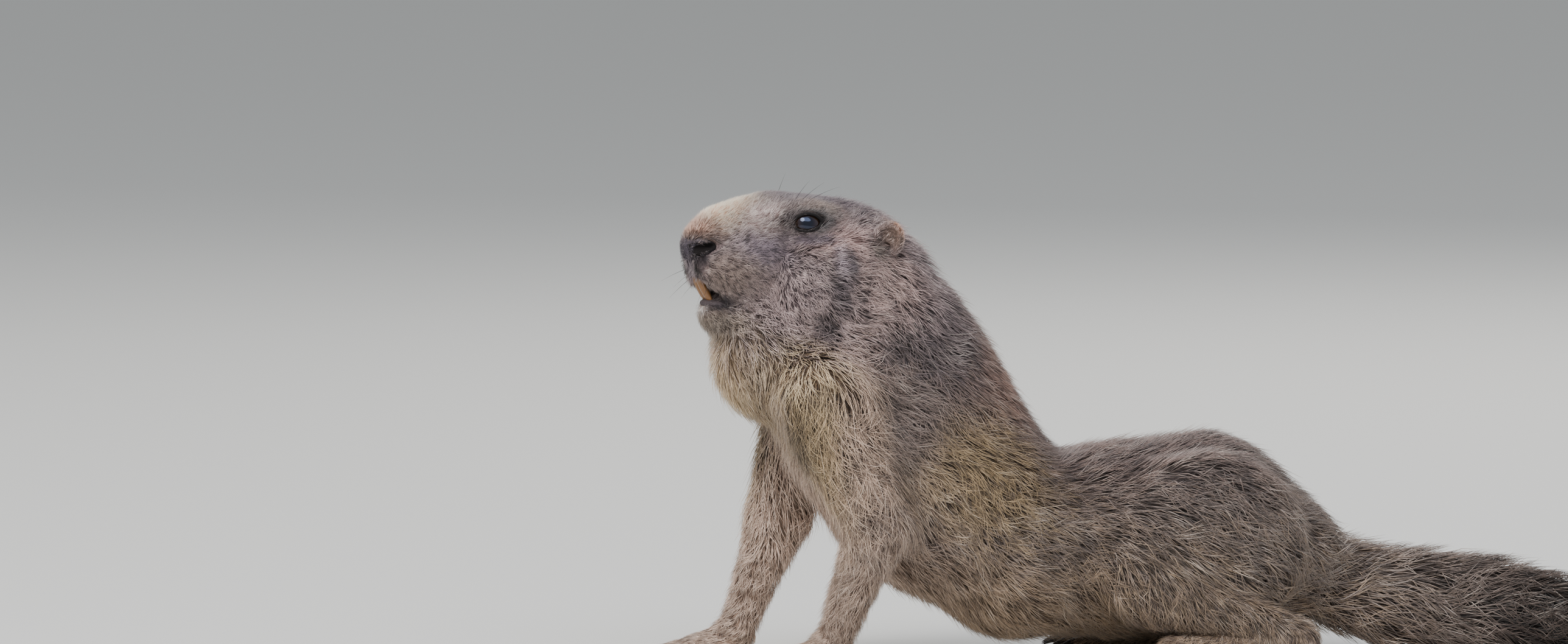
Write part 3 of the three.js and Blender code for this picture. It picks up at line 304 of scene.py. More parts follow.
def tail_point(t):
    radius = TAIL_LENGTH / TAIL_SWEEP
    fall = 0.5 - 0.5 * math.cos(math.pi * min(1, t * 3))
    low = tail_radius(t) - FLAT
    return np.array([
        TAIL_ROOT[0] + radius * math.sin(TAIL_SWEEP * t),
        -radius * (1 - math.cos(TAIL_SWEEP * t)),
        TAIL_ROOT[2] + (low - TAIL_ROOT[2]) * fall,
    ])


tail_forms = []
for i in range(TAIL_STEPS):
    t, after = i / TAIL_STEPS, (i + 1) / TAIL_STEPS
    a, b = tail_point(t), tail_point(after)
    tail_forms.append(cone(a, b, tail_radius(t), tail_radius(after), COAT["tail"], b - a))

# Fields: the blended surface of the forms, each taken in by a share of its coat's depth
FAR = 22
LONG_HAIR = 7
# Shares for the two surfaces that are used: the skin and the tips of the hair
SKIN = {"long": 0.62, "short": 0.85}
TIPS = {"long": 0.0, "short": 0.0}


def blended(forms, softness):
    """A field of all the forms, joined softly, negative inside and only rough far from them."""

    def field(points, share):
        low = np.full(len(points), np.inf)
        rough = np.full(len(points), np.inf)
        total = np.zeros(len(points))
        for form in forms:
            away = np.linalg.norm(points - form.middle, axis=1) - form.reach
            np.minimum(rough, away, out=rough)
            near = np.nonzero(away < FAR)[0]
            if not len(near):
                continue
            inset = form.coat * share["long" if form.coat > LONG_HAIR else "short"]
            d = form.distance(points[near], inset)
            was = low[near]
            least = np.minimum(was, d)
            fade, weight = np.exp((least - was) / softness), np.exp((least - d) / softness)
            total[near] = total[near] * fade + weight
            low[near] = least
        far = np.isinf(low)
        close = np.where(far, 0, low) - softness * np.log(np.where(far, 1, total))
        return np.where(far, rough, close)

    return field


def soften(a, b, k):
    """The lower of two fields, rounded where they meet."""
    h = np.clip(0.5 + 0.5 * (b - a) / k, 0, 1)
    return b + (a - b) * h - k * h * (1 - h)


def paired(forms, softness):
    """The same for the left and the right limb, each on its own side."""
    fields = [blended(forms["left"], softness), blended(forms["right"], softness)]

    def field(points, share):
        right = points[:, 1] >= 0
        out = np.empty(len(points))
        for flag, one in zip((False, True), fields):
            chosen = right == flag
            out[chosen] = one(points[chosen], share)
        return out

    return field


skull, lips = blended(head_forms, 2.8), blended(lip_forms, 0.8)
trunk_field, tail_field = blended(trunk_forms, 3), blended(tail_forms, 2)
foreleg_field, hand_field = paired(foreleg_forms, 3), paired(hand_forms, 0.8)
hind_field, sole_field = paired(hind_forms, 3.5), paired(sole_forms, 0.9)
RISES = [
    # line in the head's frame, how wide, how high
    ([8, 0, 213], [14, 0, 215], 6.0, -1.0),
    ([32, 0, 219], [39, 0, 221], 9.0, 1.4),
    ([38, 0, 221], [98, 0, 214], 13.0, 1.7),
    ([106, 0, 210], [123, 0, 199], 15.0, 0.9),
    ([123, 0, 199], [168, 0, 132], 15.0, 1.0),
]


def along_lines(points, rows):
    """The sum of soft ridges along lines in the head's frame, alike on both sides."""
    q = in_head(points)
    q[:, 1] = np.abs(q[:, 1])
    total = np.zeros(len(points))
    for a, b, wide, high in rows:
        a, way = np.array(a, float), np.subtract(b, a)
        t = np.clip((q - a) @ way / (way @ way), 0, 1)
        far = np.linalg.norm(q - a - t[:, None] * way, axis=1)
        total += high * np.exp(-((far / wide) ** 2))
    return total


def body(points, share=TIPS):
    """The distance to the whole animal, over the tips of its coat or over its skin."""
    head = soften(skull(points, share), lips(points, share), 2.5)
    d = soften(trunk_field(points, share), head, 14)
    foreleg = soften(foreleg_field(points, share), hand_field(points, share), 5)
    hindleg = soften(hind_field(points, share), sole_field(points, share), 6)
    d = soften(d, foreleg, 16)
    d = soften(d, hindleg, 12)
    return soften(d, tail_field(points, share), 12) - along_lines(points, RISES)


def slope_of(field, points, h=0.05):
    """The field's values and the way in which they rise."""
    d = field(points)
    return d, np.stack([(field(points + step) - d) / h for step in np.eye(3) * h], axis=1)


all_forms = head_forms + lip_forms + trunk_forms + tail_forms
for part in (foreleg_forms, hand_forms, hind_forms, sole_forms):
    all_forms += part["left"] + part["right"]


def coat_at(points, softness=5.5):
    """The coat's depth and the lie of the hair, from the forms nearest to each point."""
    low = np.full(len(points), np.inf)
    total = np.zeros(len(points))
    depth = np.zeros(len(points))
    lie = np.zeros((len(points), 3))
    for form in all_forms:
        near = np.nonzero(np.linalg.norm(points - form.middle, axis=1) - form.reach < FAR)[0]
        if not len(near):
            continue
        d = form.distance(points[near], 0)
        was = low[near]
        least = np.minimum(was, d)
        fade = np.exp((least - was) / softness)
        weight = np.exp((least - d) / softness)
        total[near] = total[near] * fade + weight
        depth[near] = depth[near] * fade + weight * form.coat
        lie[near] = lie[near] * fade[:, None] + weight[:, None] * form.lie
        low[near] = least
    return depth / np.maximum(total, 1e-9), unit(lie)


# Nets over a field's surface
CHUNK = 250000


def surface_net(field, low, high, step):
    """A closed net of quads over a grid, as points and quads."""
    low = np.asarray(low, float)
    counts = np.ceil((np.asarray(high, float) - low) / step).astype(int) + 1
    grid = np.stack(np.meshgrid(*[np.arange(n) for n in counts], indexing="ij"), -1)
    places = low + grid.reshape(-1, 3) * step
    chunks = np.array_split(places, max(1, len(places) // CHUNK))
    values = np.concatenate([field(chunk) for chunk in chunks]).reshape(counts)
    for axis in range(3):
        for end in (0, -1):
            edge = np.moveaxis(values, axis, 0)
            edge[end] = np.maximum(edge[end], 1e-3)
    inside = values < 0
    cells = counts - 1
    total = np.zeros((*cells, 3))
    crossings = np.zeros(cells)
    for axis in range(3):
        others = [m for m in range(3) if m != axis]
        for i in range(2):
            for j in range(2):
                corner = [0, 0, 0]
                corner[others[0]], corner[others[1]] = i, j
                ends = []
                for shift in (0, 1):
                    corner[axis] = shift
                    ends.append(values[tuple(slice(c, c + n) for c, n in zip(corner, cells))])
                va, vb = ends
                crossed = (va < 0) != (vb < 0)
                t = np.where(crossed, va / np.where(crossed, va - vb, 1), 0)
                corner[axis] = 0
                for m in range(3):
                    total[..., m] += np.where(crossed, corner[m] + (t if m == axis else 0), 0)
                crossings += crossed
    used = crossings > 0
    index = np.full(cells, -1)
    index[used] = np.arange(used.sum())
    points = low + (np.argwhere(used) + total[used] / crossings[used][:, None]) * step
    quads = []
    for axis in range(3):
        u, v = [(1, 2), (2, 0), (0, 1)][axis]
        here = np.moveaxis(inside, axis, 0)
        crossed = np.moveaxis(here[:-1] != here[1:], 0, axis)
        at = np.argwhere(crossed)
        at = at[(at[:, u] > 0) & (at[:, v] > 0)]
        corners = []
        for du, dv in ((0, 0), (1, 0), (1, 1), (0, 1)):
            cell = at.copy()
            cell[:, u] -= du
            cell[:, v] -= dv
            corners.append(index[tuple(cell.T)])
        quad = np.stack(corners, 1)
        outwards = inside[tuple(at.T)]
        quad[~outwards] = quad[~outwards][:, ::-1]
        quads.append(quad)
    return points, np.concatenate(quads)


def settled(points, field, turns=3, most=1.0):
    """The points moved onto the field's surface."""
    for _ in range(turns):
        d, slope = slope_of(field, points)
        move = np.clip(d / np.maximum(rows_dot(slope, slope), 0.1), -most, most)
        points = points - move[:, None] * slope
    return points


# Pieces
def linked(name, data):
    obj = bpy.data.objects.new(name, data)
    bpy.context.scene.collection.objects.link(obj)
    return obj


def finished(obj, name, slot, replaced=()):
    obj.name = name
    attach(obj, "root")
    if replaced:
        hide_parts(*replaced)


def smooth_piece(name, mesh, material):
    mesh.materials.append(material)
    mesh.shade_smooth()
    return linked(name, mesh)


def face_piece(name, points, faces, material):
    """A smooth piece from places in the maker's frame and faces of any number of corners."""
    mesh = bpy.data.meshes.new(name)
    mesh.from_pydata(metres(points).tolist(), [], [list(map(int, face)) for face in faces])
    return smooth_piece(name, mesh, material)


def triangle_piece(name, points, triangles, material):
    """The same from an array of triangles, quicker for a large net."""
    mesh = bpy.data.meshes.new(name)
    mesh.vertices.add(len(points))
    mesh.vertices.foreach_set("co", metres(points).astype(np.float32).ravel())
    mesh.loops.add(3 * len(triangles))
    mesh.loops.foreach_set("vertex_index", triangles.astype(np.int32).ravel())
    mesh.polygons.add(len(triangles))
    mesh.polygons.foreach_set("loop_start", np.arange(0, 3 * len(triangles), 3, dtype=np.int32))
    mesh.update(calc_edges=True)
    return smooth_piece(name, mesh, material)


def set_values(mesh, **columns):
    """Named values on the mesh's points."""
    for label, column in columns.items():
        layer = mesh.attributes.new(label, "FLOAT", "POINT")
        layer.data.foreach_set("value", np.asarray(column, np.float32))


def turned_outwards(mesh):
    net = bmesh.new()
    net.from_mesh(mesh)
    bmesh.ops.recalc_face_normals(net, faces=net.faces)
    net.to_mesh(mesh)
    net.free()


def applied(obj):
    """The object with its modifiers made part of its mesh."""
    graph = bpy.context.evaluated_depsgraph_get()
    mesh = bpy.data.meshes.new_from_object(obj.evaluated_get(graph))
    obj.modifiers.clear()
    obj.data = mesh
    return obj


def ball_net(centre, radii, axes=np.eye(3), around=32, up=20):
    """A round net as points and faces, its poles on the third axis."""
    axes = np.asarray(axes, float)
    if np.linalg.det(axes) < 0:
        axes = axes * [[-1], [1], [1]]
    points = [[0, 0, -1]]
    for j in range(1, up):
        a = math.pi * (j / up - 0.5)
        for i in range(around):
            b = 2 * math.pi * i / around
            points.append([math.cos(a) * math.cos(b), math.cos(a) * math.sin(b), math.sin(a)])
    points.append([0, 0, 1])
    faces = []
    for i in range(around):
        after = (i + 1) % around
        faces.append([0, 1 + after, 1 + i])
        for j in range(up - 2):
            row = 1 + j * around
            faces.append([row + i, row + after, row + around + after, row + around + i])
        row = 1 + (up - 2) * around
        faces.append([row + i, row + after, len(points) - 1])
    return np.asarray(centre) + (np.array(points) * radii) @ axes, faces


def carve(obj, nets):
    """Cuts each closed net out of the object."""
    for points, faces in nets:
        cutter = face_piece("cutter", points, faces, obj.data.materials[0])
        cut = obj.modifiers.new("cut", "BOOLEAN")
        cut.operation = "DIFFERENCE"
        cut.solver = "MANIFOLD"
        cut.object = cutter
        applied(obj)
        bpy.data.objects.remove(cutter)


def tube_rings(places, radii, sides, ups):
    """Rings of points round a line of places, each with its own radius."""
    ways = unit(np.gradient(places, axis=0))
    across = unit(np.cross(ups, ways))
    ups = np.cross(ways, across)
    angles = (2 * math.pi * np.arange(sides) / sides)[None, :, None]
    circle = np.cos(angles) * across[:, None] + np.sin(angles) * ups[:, None]
    return places[:, None] + circle * np.asarray(radii)[:, None, None]


def tube_faces(count, sides, closed=False):
    """The faces between rings of points, with the last ring joined to the first or both ends capped."""
    faces = []
    for ring in range(count if closed else count - 1):
        for k in range(sides):
            a, b = ring * sides + k, ring * sides + (k + 1) % sides
            over = sides if ring + 1 < count else sides - count * sides
            faces.append([a, b, b + over, a + over])
    if not closed:
        faces.append(list(range(sides))[::-1])
        faces.append([(count - 1) * sides + k for k in range(sides)])
    return faces


# Materials
COLOUR_A, COLOUR_B, COLOUR_RESULT = 6, 7, 2  # the colour sockets of a Mix node


def feed(tree, socket, value):
    """Links an output to the socket, or sets a plain value on it."""
    if isinstance(value, bpy.types.NodeSocket):
        tree.links.new(value, socket)
    else:
        socket.default_value = value


def add(tree, kind, inputs=None, **settings):
    node = tree.nodes.new(kind)
    for key, value in settings.items():
        setattr(node, key, value)
    for key, value in (inputs or {}).items():
        feed(tree, node.inputs[key], value)
    return node


def colour(r, g, b):
    return (r, g, b, 1.0)


def mix_colours(tree, factor, a, b):
    inputs = {"Factor": factor, COLOUR_A: a, COLOUR_B: b}
    return add(tree, "ShaderNodeMix", inputs, data_type="RGBA").outputs[COLOUR_RESULT]


def sums(tree, operation, *values):
    return add(tree, "ShaderNodeMath", dict(enumerate(values)), operation=operation).outputs[0]


def vectors(tree, operation, *values):
    return add(tree, "ShaderNodeVectorMath", dict(enumerate(values)), operation=operation).outputs


def centred(tree, value, size):
    """A value from 0 to 1 turned into one of the given size that lies round 0."""
    return sums(tree, "MULTIPLY", sums(tree, "SUBTRACT", value, 0.5), size)


def eased(tree, value, low, high):
    """0 at low and 1 at high, smoothly between them."""
    inputs = {"Value": value, "From Min": low, "From Max": high}
    return add(tree, "ShaderNodeMapRange", inputs, interpolation_type="SMOOTHSTEP").outputs["Result"]


def noise(tree, place, scale, detail):
    inputs = {"Vector": place, "Scale": scale, "Detail": detail}
    return add(tree, "ShaderNodeTexNoise", inputs).outputs["Fac"]


def pebbles(tree, place, scale):
    inputs = {"Vector": place, "Scale": scale}
    return add(tree, "ShaderNodeTexVoronoi", inputs, feature="SMOOTH_F1").outputs["Distance"]


def bumped(tree, height, strength, distance):
    inputs = {"Height": height, "Strength": strength, "Distance": distance}
    return add(tree, "ShaderNodeBump", inputs).outputs["Normal"]


def attribute(tree, name):
    return add(tree, "ShaderNodeAttribute", attribute_name=name).outputs["Fac"]


def object_place(tree):
    return add(tree, "ShaderNodeTexCoord").outputs["Object"]


def group_tree(name, kind, inputs, outputs):
    """A new node group, the sockets that its inputs come from and those that its outputs go to."""
    tree = bpy.data.node_groups.new(name, kind)
    for in_out, sockets in (("INPUT", inputs), ("OUTPUT", outputs)):
        for label, value_kind in sockets.items():
            tree.interface.new_socket(label, in_out=in_out, socket_type="NodeSocket" + value_kind)
    return tree, tree.nodes.new("NodeGroupInput").outputs, tree.nodes.new("NodeGroupOutput").inputs


def grouped(tree, group, inputs):
    return add(tree, "ShaderNodeGroup", inputs, node_tree=group).outputs


# Markings: the hair's colour near the skin and at its tip, in soft ovals, each on both sides. A few ovals are
# painted shade in folds and gaps, and a few are painted light on parts that fall in shade
GROUND = ((82, 72, 68), (156, 138, 128))
MARKING_EDGE = (1.6, 0.4)  # in shares of an oval's half size: where its colour starts, and where it is full
BODY_MARKINGS_AND_PAINTED_LIGHTING = [
    # centre, half sizes, under, tip
    ((100, 0, 175), (50, 60, 50), (68, 58, 60), (140, 124, 120)),  # neck
    ((190, 0, 120), (110, 80, 50), (66, 56, 56), (146, 124, 116)),  # back
    ((180, 0, 14), (140, 90, 50), (98, 80, 64), (196, 168, 138)),  # belly
    ((150, 0, 132), (46, 50, 22), (74, 58, 54), (164, 132, 118)),  # dip of the back
    ((134, 53, 92), (36, 22, 28), (81, 65, 51), (189, 162, 121)),  # flank
    # painted light: the forelegs and their front are paler than their own cream, to lift the shade on the far
    # foreleg
    ((50, 0, 50), (60, 76, 66), (147, 122, 104), (235, 206, 184)),  # forelegs
    ((14, 40, 58), (50, 56, 40), (172, 145, 126), (250, 224, 206)),  # front of the forelegs
    ((26, 0, 146), (34, 38, 42), (166, 141, 111), (222, 197, 158)),  # throat and chest
    ((27, 30, 150), (12, 14, 12), (118, 98, 75), (180, 157, 127)),  # side of the throat
    ((54, 58, 116), (26, 18, 46), (86, 69, 50), (217, 190, 148)),  # shoulder
    # painted light: the top of the shoulder is paler than its tan, to lift the shade in the hollow under the
    # jaw
    ((50, 48, 147), (24, 22, 14), (136, 109, 83), (255, 230, 186)),  # top of the shoulder
    ((78, 63, 112), (16, 14, 36), (79, 62, 52), (244, 212, 188)),  # rear of the shoulder
    # painted shade: the ovals behind and before the shoulder darken the gaps beside the foreleg
    ((100, 52, 126), (13, 16, 26), (64, 55, 53), (166, 145, 135)),  # behind the shoulder
    ((45, 44, 104), (8, 12, 16), (58, 49, 41), (146, 128, 104)),  # before the shoulder
    ((80, 45, 156), (26, 18, 16), (62, 51, 49), (204, 176, 165)),  # side of the neck
    ((108, 44, 166), (16, 18, 22), (45, 39, 41), (88, 78, 77)),  # dark patch behind it
    ((97, 48, 158), (13, 16, 14), (42, 36, 36), (96, 84, 82)),  # front of that patch
    ((122, 36, 172), (22, 24, 40), (59, 52, 55), (129, 114, 114)),  # rear of the neck
    ((112, 20, 200), (15, 18, 18), (53, 46, 47), (107, 94, 93)),  # nape
    ((425, 90, 20), (60, 60, 60), (40, 33, 30), (84, 70, 62)),  # tail
]
HEAD_MARKINGS_AND_PAINTED_LIGHTING = [
    # the same, in the head's frame
    ((60, 0, 190), (60, 50, 40), (82, 70, 73), (222, 199, 198)),  # whole head
    ((92, 39, 186), (19, 16, 20), (84, 69, 68), (228, 197, 189)),  # behind the cheek
    ((70, 0, 226), (39, 36, 12), (55, 47, 53), (124, 108, 115)),  # crown
    # partly painted light: the pale bridge of the nose is made paler still for the light that falls on the
    # muzzle's top
    ((18, 0, 221), (18, 20, 12), (236, 192, 160), (255, 242, 216)),  # bridge of the nose
    ((36, 24, 201), (13, 10, 12), (83, 74, 80), (196, 176, 186)),  # before the eye
    ((44, 31, 176), (24, 16, 15), (77, 63, 67), (235, 209, 206)),  # cheek
    ((55, 31, 203), (12, 10, 6), (82, 68, 69), (189, 165, 161)),  # below the eye
    ((72, 31, 206), (13, 12, 12), (124, 98, 92), (252, 214, 206)),  # behind the eye
    ((38, 18, 215.5), (11, 10, 8), (196, 164, 156), (255, 238, 230)),  # pale spot over the eye's front
    ((63, 22, 220), (13, 9, 5), (106, 88, 80), (214, 188, 174)),  # brow
    ((68, 39, 193), (4, 10, 10), (117, 102, 108), (226, 206, 211)),  # edge of the cheek
    # painted shade: the three dark ovals down the fold behind the cheek darken its crease, where the coat's
    # tips also sink
    ((72.5, 40, 194), (3, 9, 7), (56, 48, 52), (140, 126, 130)),  # top of the fold behind the cheek
    ((66, 41, 179), (4.6, 10, 10), (54, 47, 51), (150, 134, 136)),  # middle of that fold
    ((60, 38, 163), (6, 10, 8), (58, 51, 53), (150, 134, 134)),  # foot of that fold
    ((18, 18, 189), (14, 12, 9), (83, 68, 65), (219, 193, 181)),  # side of the muzzle
    ((6, 0, 210), (10, 17, 7), (118, 88, 75), (214, 173, 150)),  # over the nose
    ((2, 0, 192), (8, 12, 10), (84, 73, 79), (188, 171, 177)),  # round the nose
    ((5, 0, 204.6), (10, 18, 3.4), (66, 55, 50), (124, 104, 96)),  # dark edge over the nose
    ((4, 0, 199.5), (8, 14, 5), (50, 46, 54), (104, 98, 110)),  # down on the nose
    ((6, 11, 196), (4, 5, 4), (44, 39, 41), (92, 83, 88)),  # below the nostril
    ((5, 9, 190), (2.6, 3.5, 4.5), (40, 35, 34), (88, 78, 76)),  # upper lip
    ((20, 0, 164), (16, 16, 7), (99, 88, 81), (204, 187, 172)),  # chin
    ((17, 9, 174.4), (9, 7, 3.6), (52, 46, 49), (102, 93, 98)),  # lower lip
    ((6.8, 1, 173), (3.6, 7, 4.4), (206, 196, 192), (255, 250, 246)),  # pale front of the lower lip
    ((54.5, 24, 213.2), (17, 12, 7.4), (26, 21, 21), (76, 66, 66)),  # ring round the eye
    ((57, 24, 205), (10, 12, 2.4), (84, 72, 78), (176, 158, 166)),  # below that ring
    ((97, 30, 206), (8, 8, 7), (84, 70, 63), (184, 158, 147)),  # ear
    ((103, 25, 212), (6, 10, 7), (120, 78, 54), (232, 162, 114)),  # rusty tuft behind the ear
    ((89, 32, 200), (5, 8, 5), (62, 54, 51), (140, 123, 115)),  # before the ear
]


def tone(*display):
    """A display colour from 0 to 255 as a linear one."""
    return colour(*((v / 255 / 12.92) if v < 11 else ((v / 255 + 0.055) / 1.055) ** 2.4 for v in display))


def make_markings_and_painted_lighting():
    """The two colours of the hair at a place, painted shade and light among them, with ragged borders between
    the ovals.
    """
    tree, start, end = group_tree(
        "marmot_markings_and_painted_lighting", "ShaderNodeTree",
        {"Place": "Vector", "Ragged": "Float", "Scatter": "Float"}, {"Under": "Color", "Tip": "Color"},
    )
    uneven = centred(tree, noise(tree, start["Place"], 160.0, 3.0), start["Ragged"])
    uneven = sums(tree, "ADD", uneven, start["Scatter"])
    maker = vectors(tree, "MULTIPLY_ADD", start["Place"], (1 / MM,) * 3, tuple(-ORIGIN))[0]
    x, y, z = add(tree, "ShaderNodeSeparateXYZ", {0: maker}).outputs
    back = vectors(tree, "DOT_PRODUCT", maker, tuple(HEAD_BACK))["Value"]
    right = vectors(tree, "DOT_PRODUCT", maker, tuple(HEAD_RIGHT))["Value"]
    head_x = sums(tree, "ADD", back, HEAD_PIVOT - NAPE_X * HEAD_BACK[0])
    head_y = sums(tree, "SUBTRACT", right, NAPE_X * HEAD_RIGHT[0])
    under, tip = tone(*GROUND[0]), tone(*GROUND[1])
    for along, beside, rows in ((x, y, BODY_MARKINGS_AND_PAINTED_LIGHTING), (head_x, head_y, HEAD_MARKINGS_AND_PAINTED_LIGHTING)):
        either_side = {"X": along, "Y": sums(tree, "ABSOLUTE", beside), "Z": z}
        place = add(tree, "ShaderNodeCombineXYZ", either_side).outputs[0]
        for centre, sizes, deep, light in rows:
            moved = vectors(tree, "SUBTRACT", place, centre)[0]
            scaled = vectors(tree, "MULTIPLY", moved, tuple(1 / r for r in sizes))[0]
            far = vectors(tree, "LENGTH", scaled)["Value"]
            share = eased(tree, sums(tree, "ADD", far, uneven), *MARKING_EDGE)
            under = mix_colours(tree, share, under, tone(*deep))
            tip = mix_colours(tree, share, tip, tone(*light))
    tree.links.new(under, end["Under"])
    tree.links.new(tip, end["Tip"])
    return tree


def make_banding():
    """A hair's colour: dark at its root, light at its tip, with darker and paler hairs among the rest."""
    tree, start, end = group_tree(
        "hair_banding", "ShaderNodeTree",
        {"Under": "Color", "Tip": "Color", "Along": "Float", "Strand": "Float"}, {"Colour": "Color"},
    )
    strand = start["Strand"]
    light = eased(tree, sums(tree, "ADD", start["Along"], centred(tree, strand, 0.5)), 0.2, 0.85)
    banded = mix_colours(tree, light, start["Under"], start["Tip"])
    pale = mix_colours(tree, 0.3, start["Tip"], colour(0.85, 0.77, 0.68))
    banded = mix_colours(tree, sums(tree, "MULTIPLY", eased(tree, strand, 0.86, 1.0), light), banded, pale)
    dark = sums(tree, "MULTIPLY", eased(tree, strand, 0.34, 0.10), 0.55)
    tree.links.new(mix_colours(tree, dark, banded, start["Under"]), end["Colour"])
    return tree


# the markings' group also holds the painted shade in folds and gaps and the painted light on shaded parts
markings = make_markings_and_painted_lighting()
banding = make_banding()


def material_named(name):
    material = bpy.data.materials.new(name)
    material.use_nodes = True
    material.node_tree.nodes.clear()
    return material, material.node_tree


def shader(tree, inputs):
    """A principled surface linked to the material's output."""
    surface = add(tree, "ShaderNodeBsdfPrincipled", inputs)
    add(tree, "ShaderNodeOutputMaterial", {"Surface": surface.outputs["BSDF"]})


def make_skin_material():
    """Down close to the skin: the markings' deep colour with their painted shade and light, fine streaks and
    a matt, uneven surface.
    """
    material, tree = material_named("marmot_skin")
    place = object_place(tree)
    marks = grouped(tree, markings, {"Place": place, "Ragged": 0.3})
    streaks = noise(tree, place, 900.0, 3.0)
    share = sums(tree, "MULTIPLY", eased(tree, streaks, 0.35, 0.75), 0.25)
    shader(tree, {
        "Base Color": mix_colours(tree, share, marks["Under"], marks["Tip"]), "Roughness": 0.85,
        "Normal": bumped(tree, streaks, 0.5, 0.0004), "Specular IOR Level": 0.2,
    })
    return material


def make_coat_material():
    """Hair in the markings' colours, painted shade and light among them, banded from root to tip, with drifts
    of lighter and darker tufts.
    """
    material, tree = material_named("marmot_coat")
    place = object_place(tree)
    strand = attribute(tree, "strand")
    shuffled = sums(tree, "MULTIPLY", strand, 97.0)
    dice = add(tree, "ShaderNodeTexWhiteNoise", {"W": shuffled}, noise_dimensions="1D")
    scatter = centred(tree, dice.outputs["Value"], 0.8)
    marks = grouped(tree, markings, {"Place": place, "Ragged": 0.9, "Scatter": scatter})
    drift = centred(tree, noise(tree, place, 330.0, 2.0), 0.9)
    hair = grouped(tree, banding, {
        "Under": marks["Under"], "Tip": marks["Tip"],
        "Along": sums(tree, "ADD", attribute(tree, "along"), drift), "Strand": strand,
    })
    shader(tree, {
        "Base Color": hair["Colour"], "Roughness": 0.55, "Specular IOR Level": 0.3,
        "Sheen Weight": 0.15, "Sheen Roughness": 0.5,
    })
    return material


def make_bare_material(name, deep, light, roughness, grain, height, gloss=0.5):
    """Bare skin or horn: two tones over a fine grain."""
    material, tree = material_named(name)
    place = object_place(tree)
    cells = pebbles(tree, place, grain)
    cloudy = noise(tree, place, grain / 4, 3.0)
    share = sums(tree, "MULTIPLY", cells, cloudy)
    shader(tree, {
        "Base Color": mix_colours(tree, share, colour(*deep), colour(*light)),
        "Roughness": sums(tree, "ADD", sums(tree, "MULTIPLY", cloudy, 0.2), roughness),
        "Normal": bumped(tree, cells, 0.6, height), "Specular IOR Level": gloss,
    })
    return material


def make_nose_material():
    """Pebbled leather, a dull mauve between and below the nostrils and near black in and round them: painted
    shade in their hollows, the leather's own dark at their edges.
    """
    material, tree = material_named("nose_leather")
    place = object_place(tree)
    blotches = noise(tree, place, 420.0, 4.0)
    plain = mix_colours(tree, blotches, colour(0.030, 0.026, 0.032), colour(0.100, 0.086, 0.100))
    # painted shade: near black deep in the nostrils' hollows, fading over their edges
    rim = sums(tree, "ADD", attribute(tree, "hollow"), sums(tree, "MULTIPLY", blotches, -1.2))
    shader(tree, {
        "Base Color": mix_colours(tree, eased(tree, rim, 1.8, -0.4), plain, colour(0.014, 0.012, 0.012)),
        "Roughness": sums(tree, "ADD", sums(tree, "MULTIPLY", blotches, 0.3), 0.6),
        "Normal": bumped(tree, pebbles(tree, place, 2400.0), 0.7, 0.0002), "Specular IOR Level": 0.05,
    })
    return material


def make_eye_material():
    """A wet, nearly black eye with a dark brown rim to its iris, its reflections tinted blue as a painted sky
    colour.
    """
    material, tree = material_named("marmot_eye")
    share = eased(tree, attribute(tree, "iris"), 0.25, 0.75)
    shader(tree, {
        "Base Color": mix_colours(tree, share, colour(0.004, 0.003, 0.003), colour(0.022, 0.012, 0.007)),
        # painted reflection colour: the blue specular tint gives the eye's reflections the colour of a sky
        "Roughness": 0.11, "IOR": 1.5, "Specular IOR Level": 0.75, "Specular Tint": colour(0.55, 0.66, 1.0),
    })
    return material


def make_tooth_material():
    """Orange-brown enamel with fine upright lines."""
    material, tree = material_named("marmot_tooth")
    stretched = {"Vector": object_place(tree), "Scale": (2500.0, 2500.0, 250.0)}
    lines = noise(tree, add(tree, "ShaderNodeMapping", stretched).outputs[0], 1.0, 3.0)
    shader(tree, {
        "Base Color": mix_colours(tree, lines, colour(0.12, 0.055, 0.022), colour(0.30, 0.145, 0.050)),
        "Roughness": 0.28, "Normal": bumped(tree, lines, 0.2, 0.0002),
    })
    return material


skin_material = make_skin_material()
coat_material = make_coat_material()
nose_material = make_nose_material()
eye_material = make_eye_material()
tooth_material = make_tooth_material()
# name, deep tone, light tone, roughness, grain, its height, gloss
lid_material = make_bare_material(
    "lid_rim", (0.008, 0.007, 0.007), (0.024, 0.02, 0.02), 0.65, 3000.0, 0.00006, 0.15
)
lip_material = make_bare_material(
    "lip_skin", (0.045, 0.036, 0.038), (0.14, 0.11, 0.115), 0.6, 2200.0, 0.00015, 0.2
)
claw_material = make_bare_material(
    "claw_horn", (0.012, 0.010, 0.009), (0.10, 0.08, 0.065), 0.35, 900.0, 0.00006
)
whisker_material = make_bare_material(
    "whisker", (0.010, 0.009, 0.009), (0.03, 0.027, 0.027), 0.4, 900.0, 0.00002
)

# Camera, floor and light
VIEW = {"azimuth": -14, "elevation": 4, "distance": 5000}
PHOTO_SCALE = 3.5  # pixels to the millimetre at the head
PHOTO_ORIGIN = (1117, 1105)  # where the maker's origin falls in the frame
FRAME_WIDTH, FRAME_HEIGHT = 2576, 1058
SENSOR = 36
MIDDLE_OF_THE_HEAD = [45, -15, 195]
FLOOR_SIZE = 60
LIT_PLACE = (-0.1, 0, 0.12)
LIGHTS = [
    # name, place in metres round the animal, width, height, power, tint
    ("key", (-1.9, -1.5, 2.2), 1.7, 1.7, 76, (1.0, 0.94, 0.88)),
    ("sky", (-0.6, -2.5, 3.1), 4.8, 2.4, 92, (0.85, 0.89, 1.0)),
    ("rim", (1.3, 1.9, 1.7), 1.6, 1.0, 34, (1.0, 0.96, 0.91)),
    ("top", (0.2, 0.2, 2.6), 2.2, 2.2, 24, (0.93, 0.96, 1.0)),
]


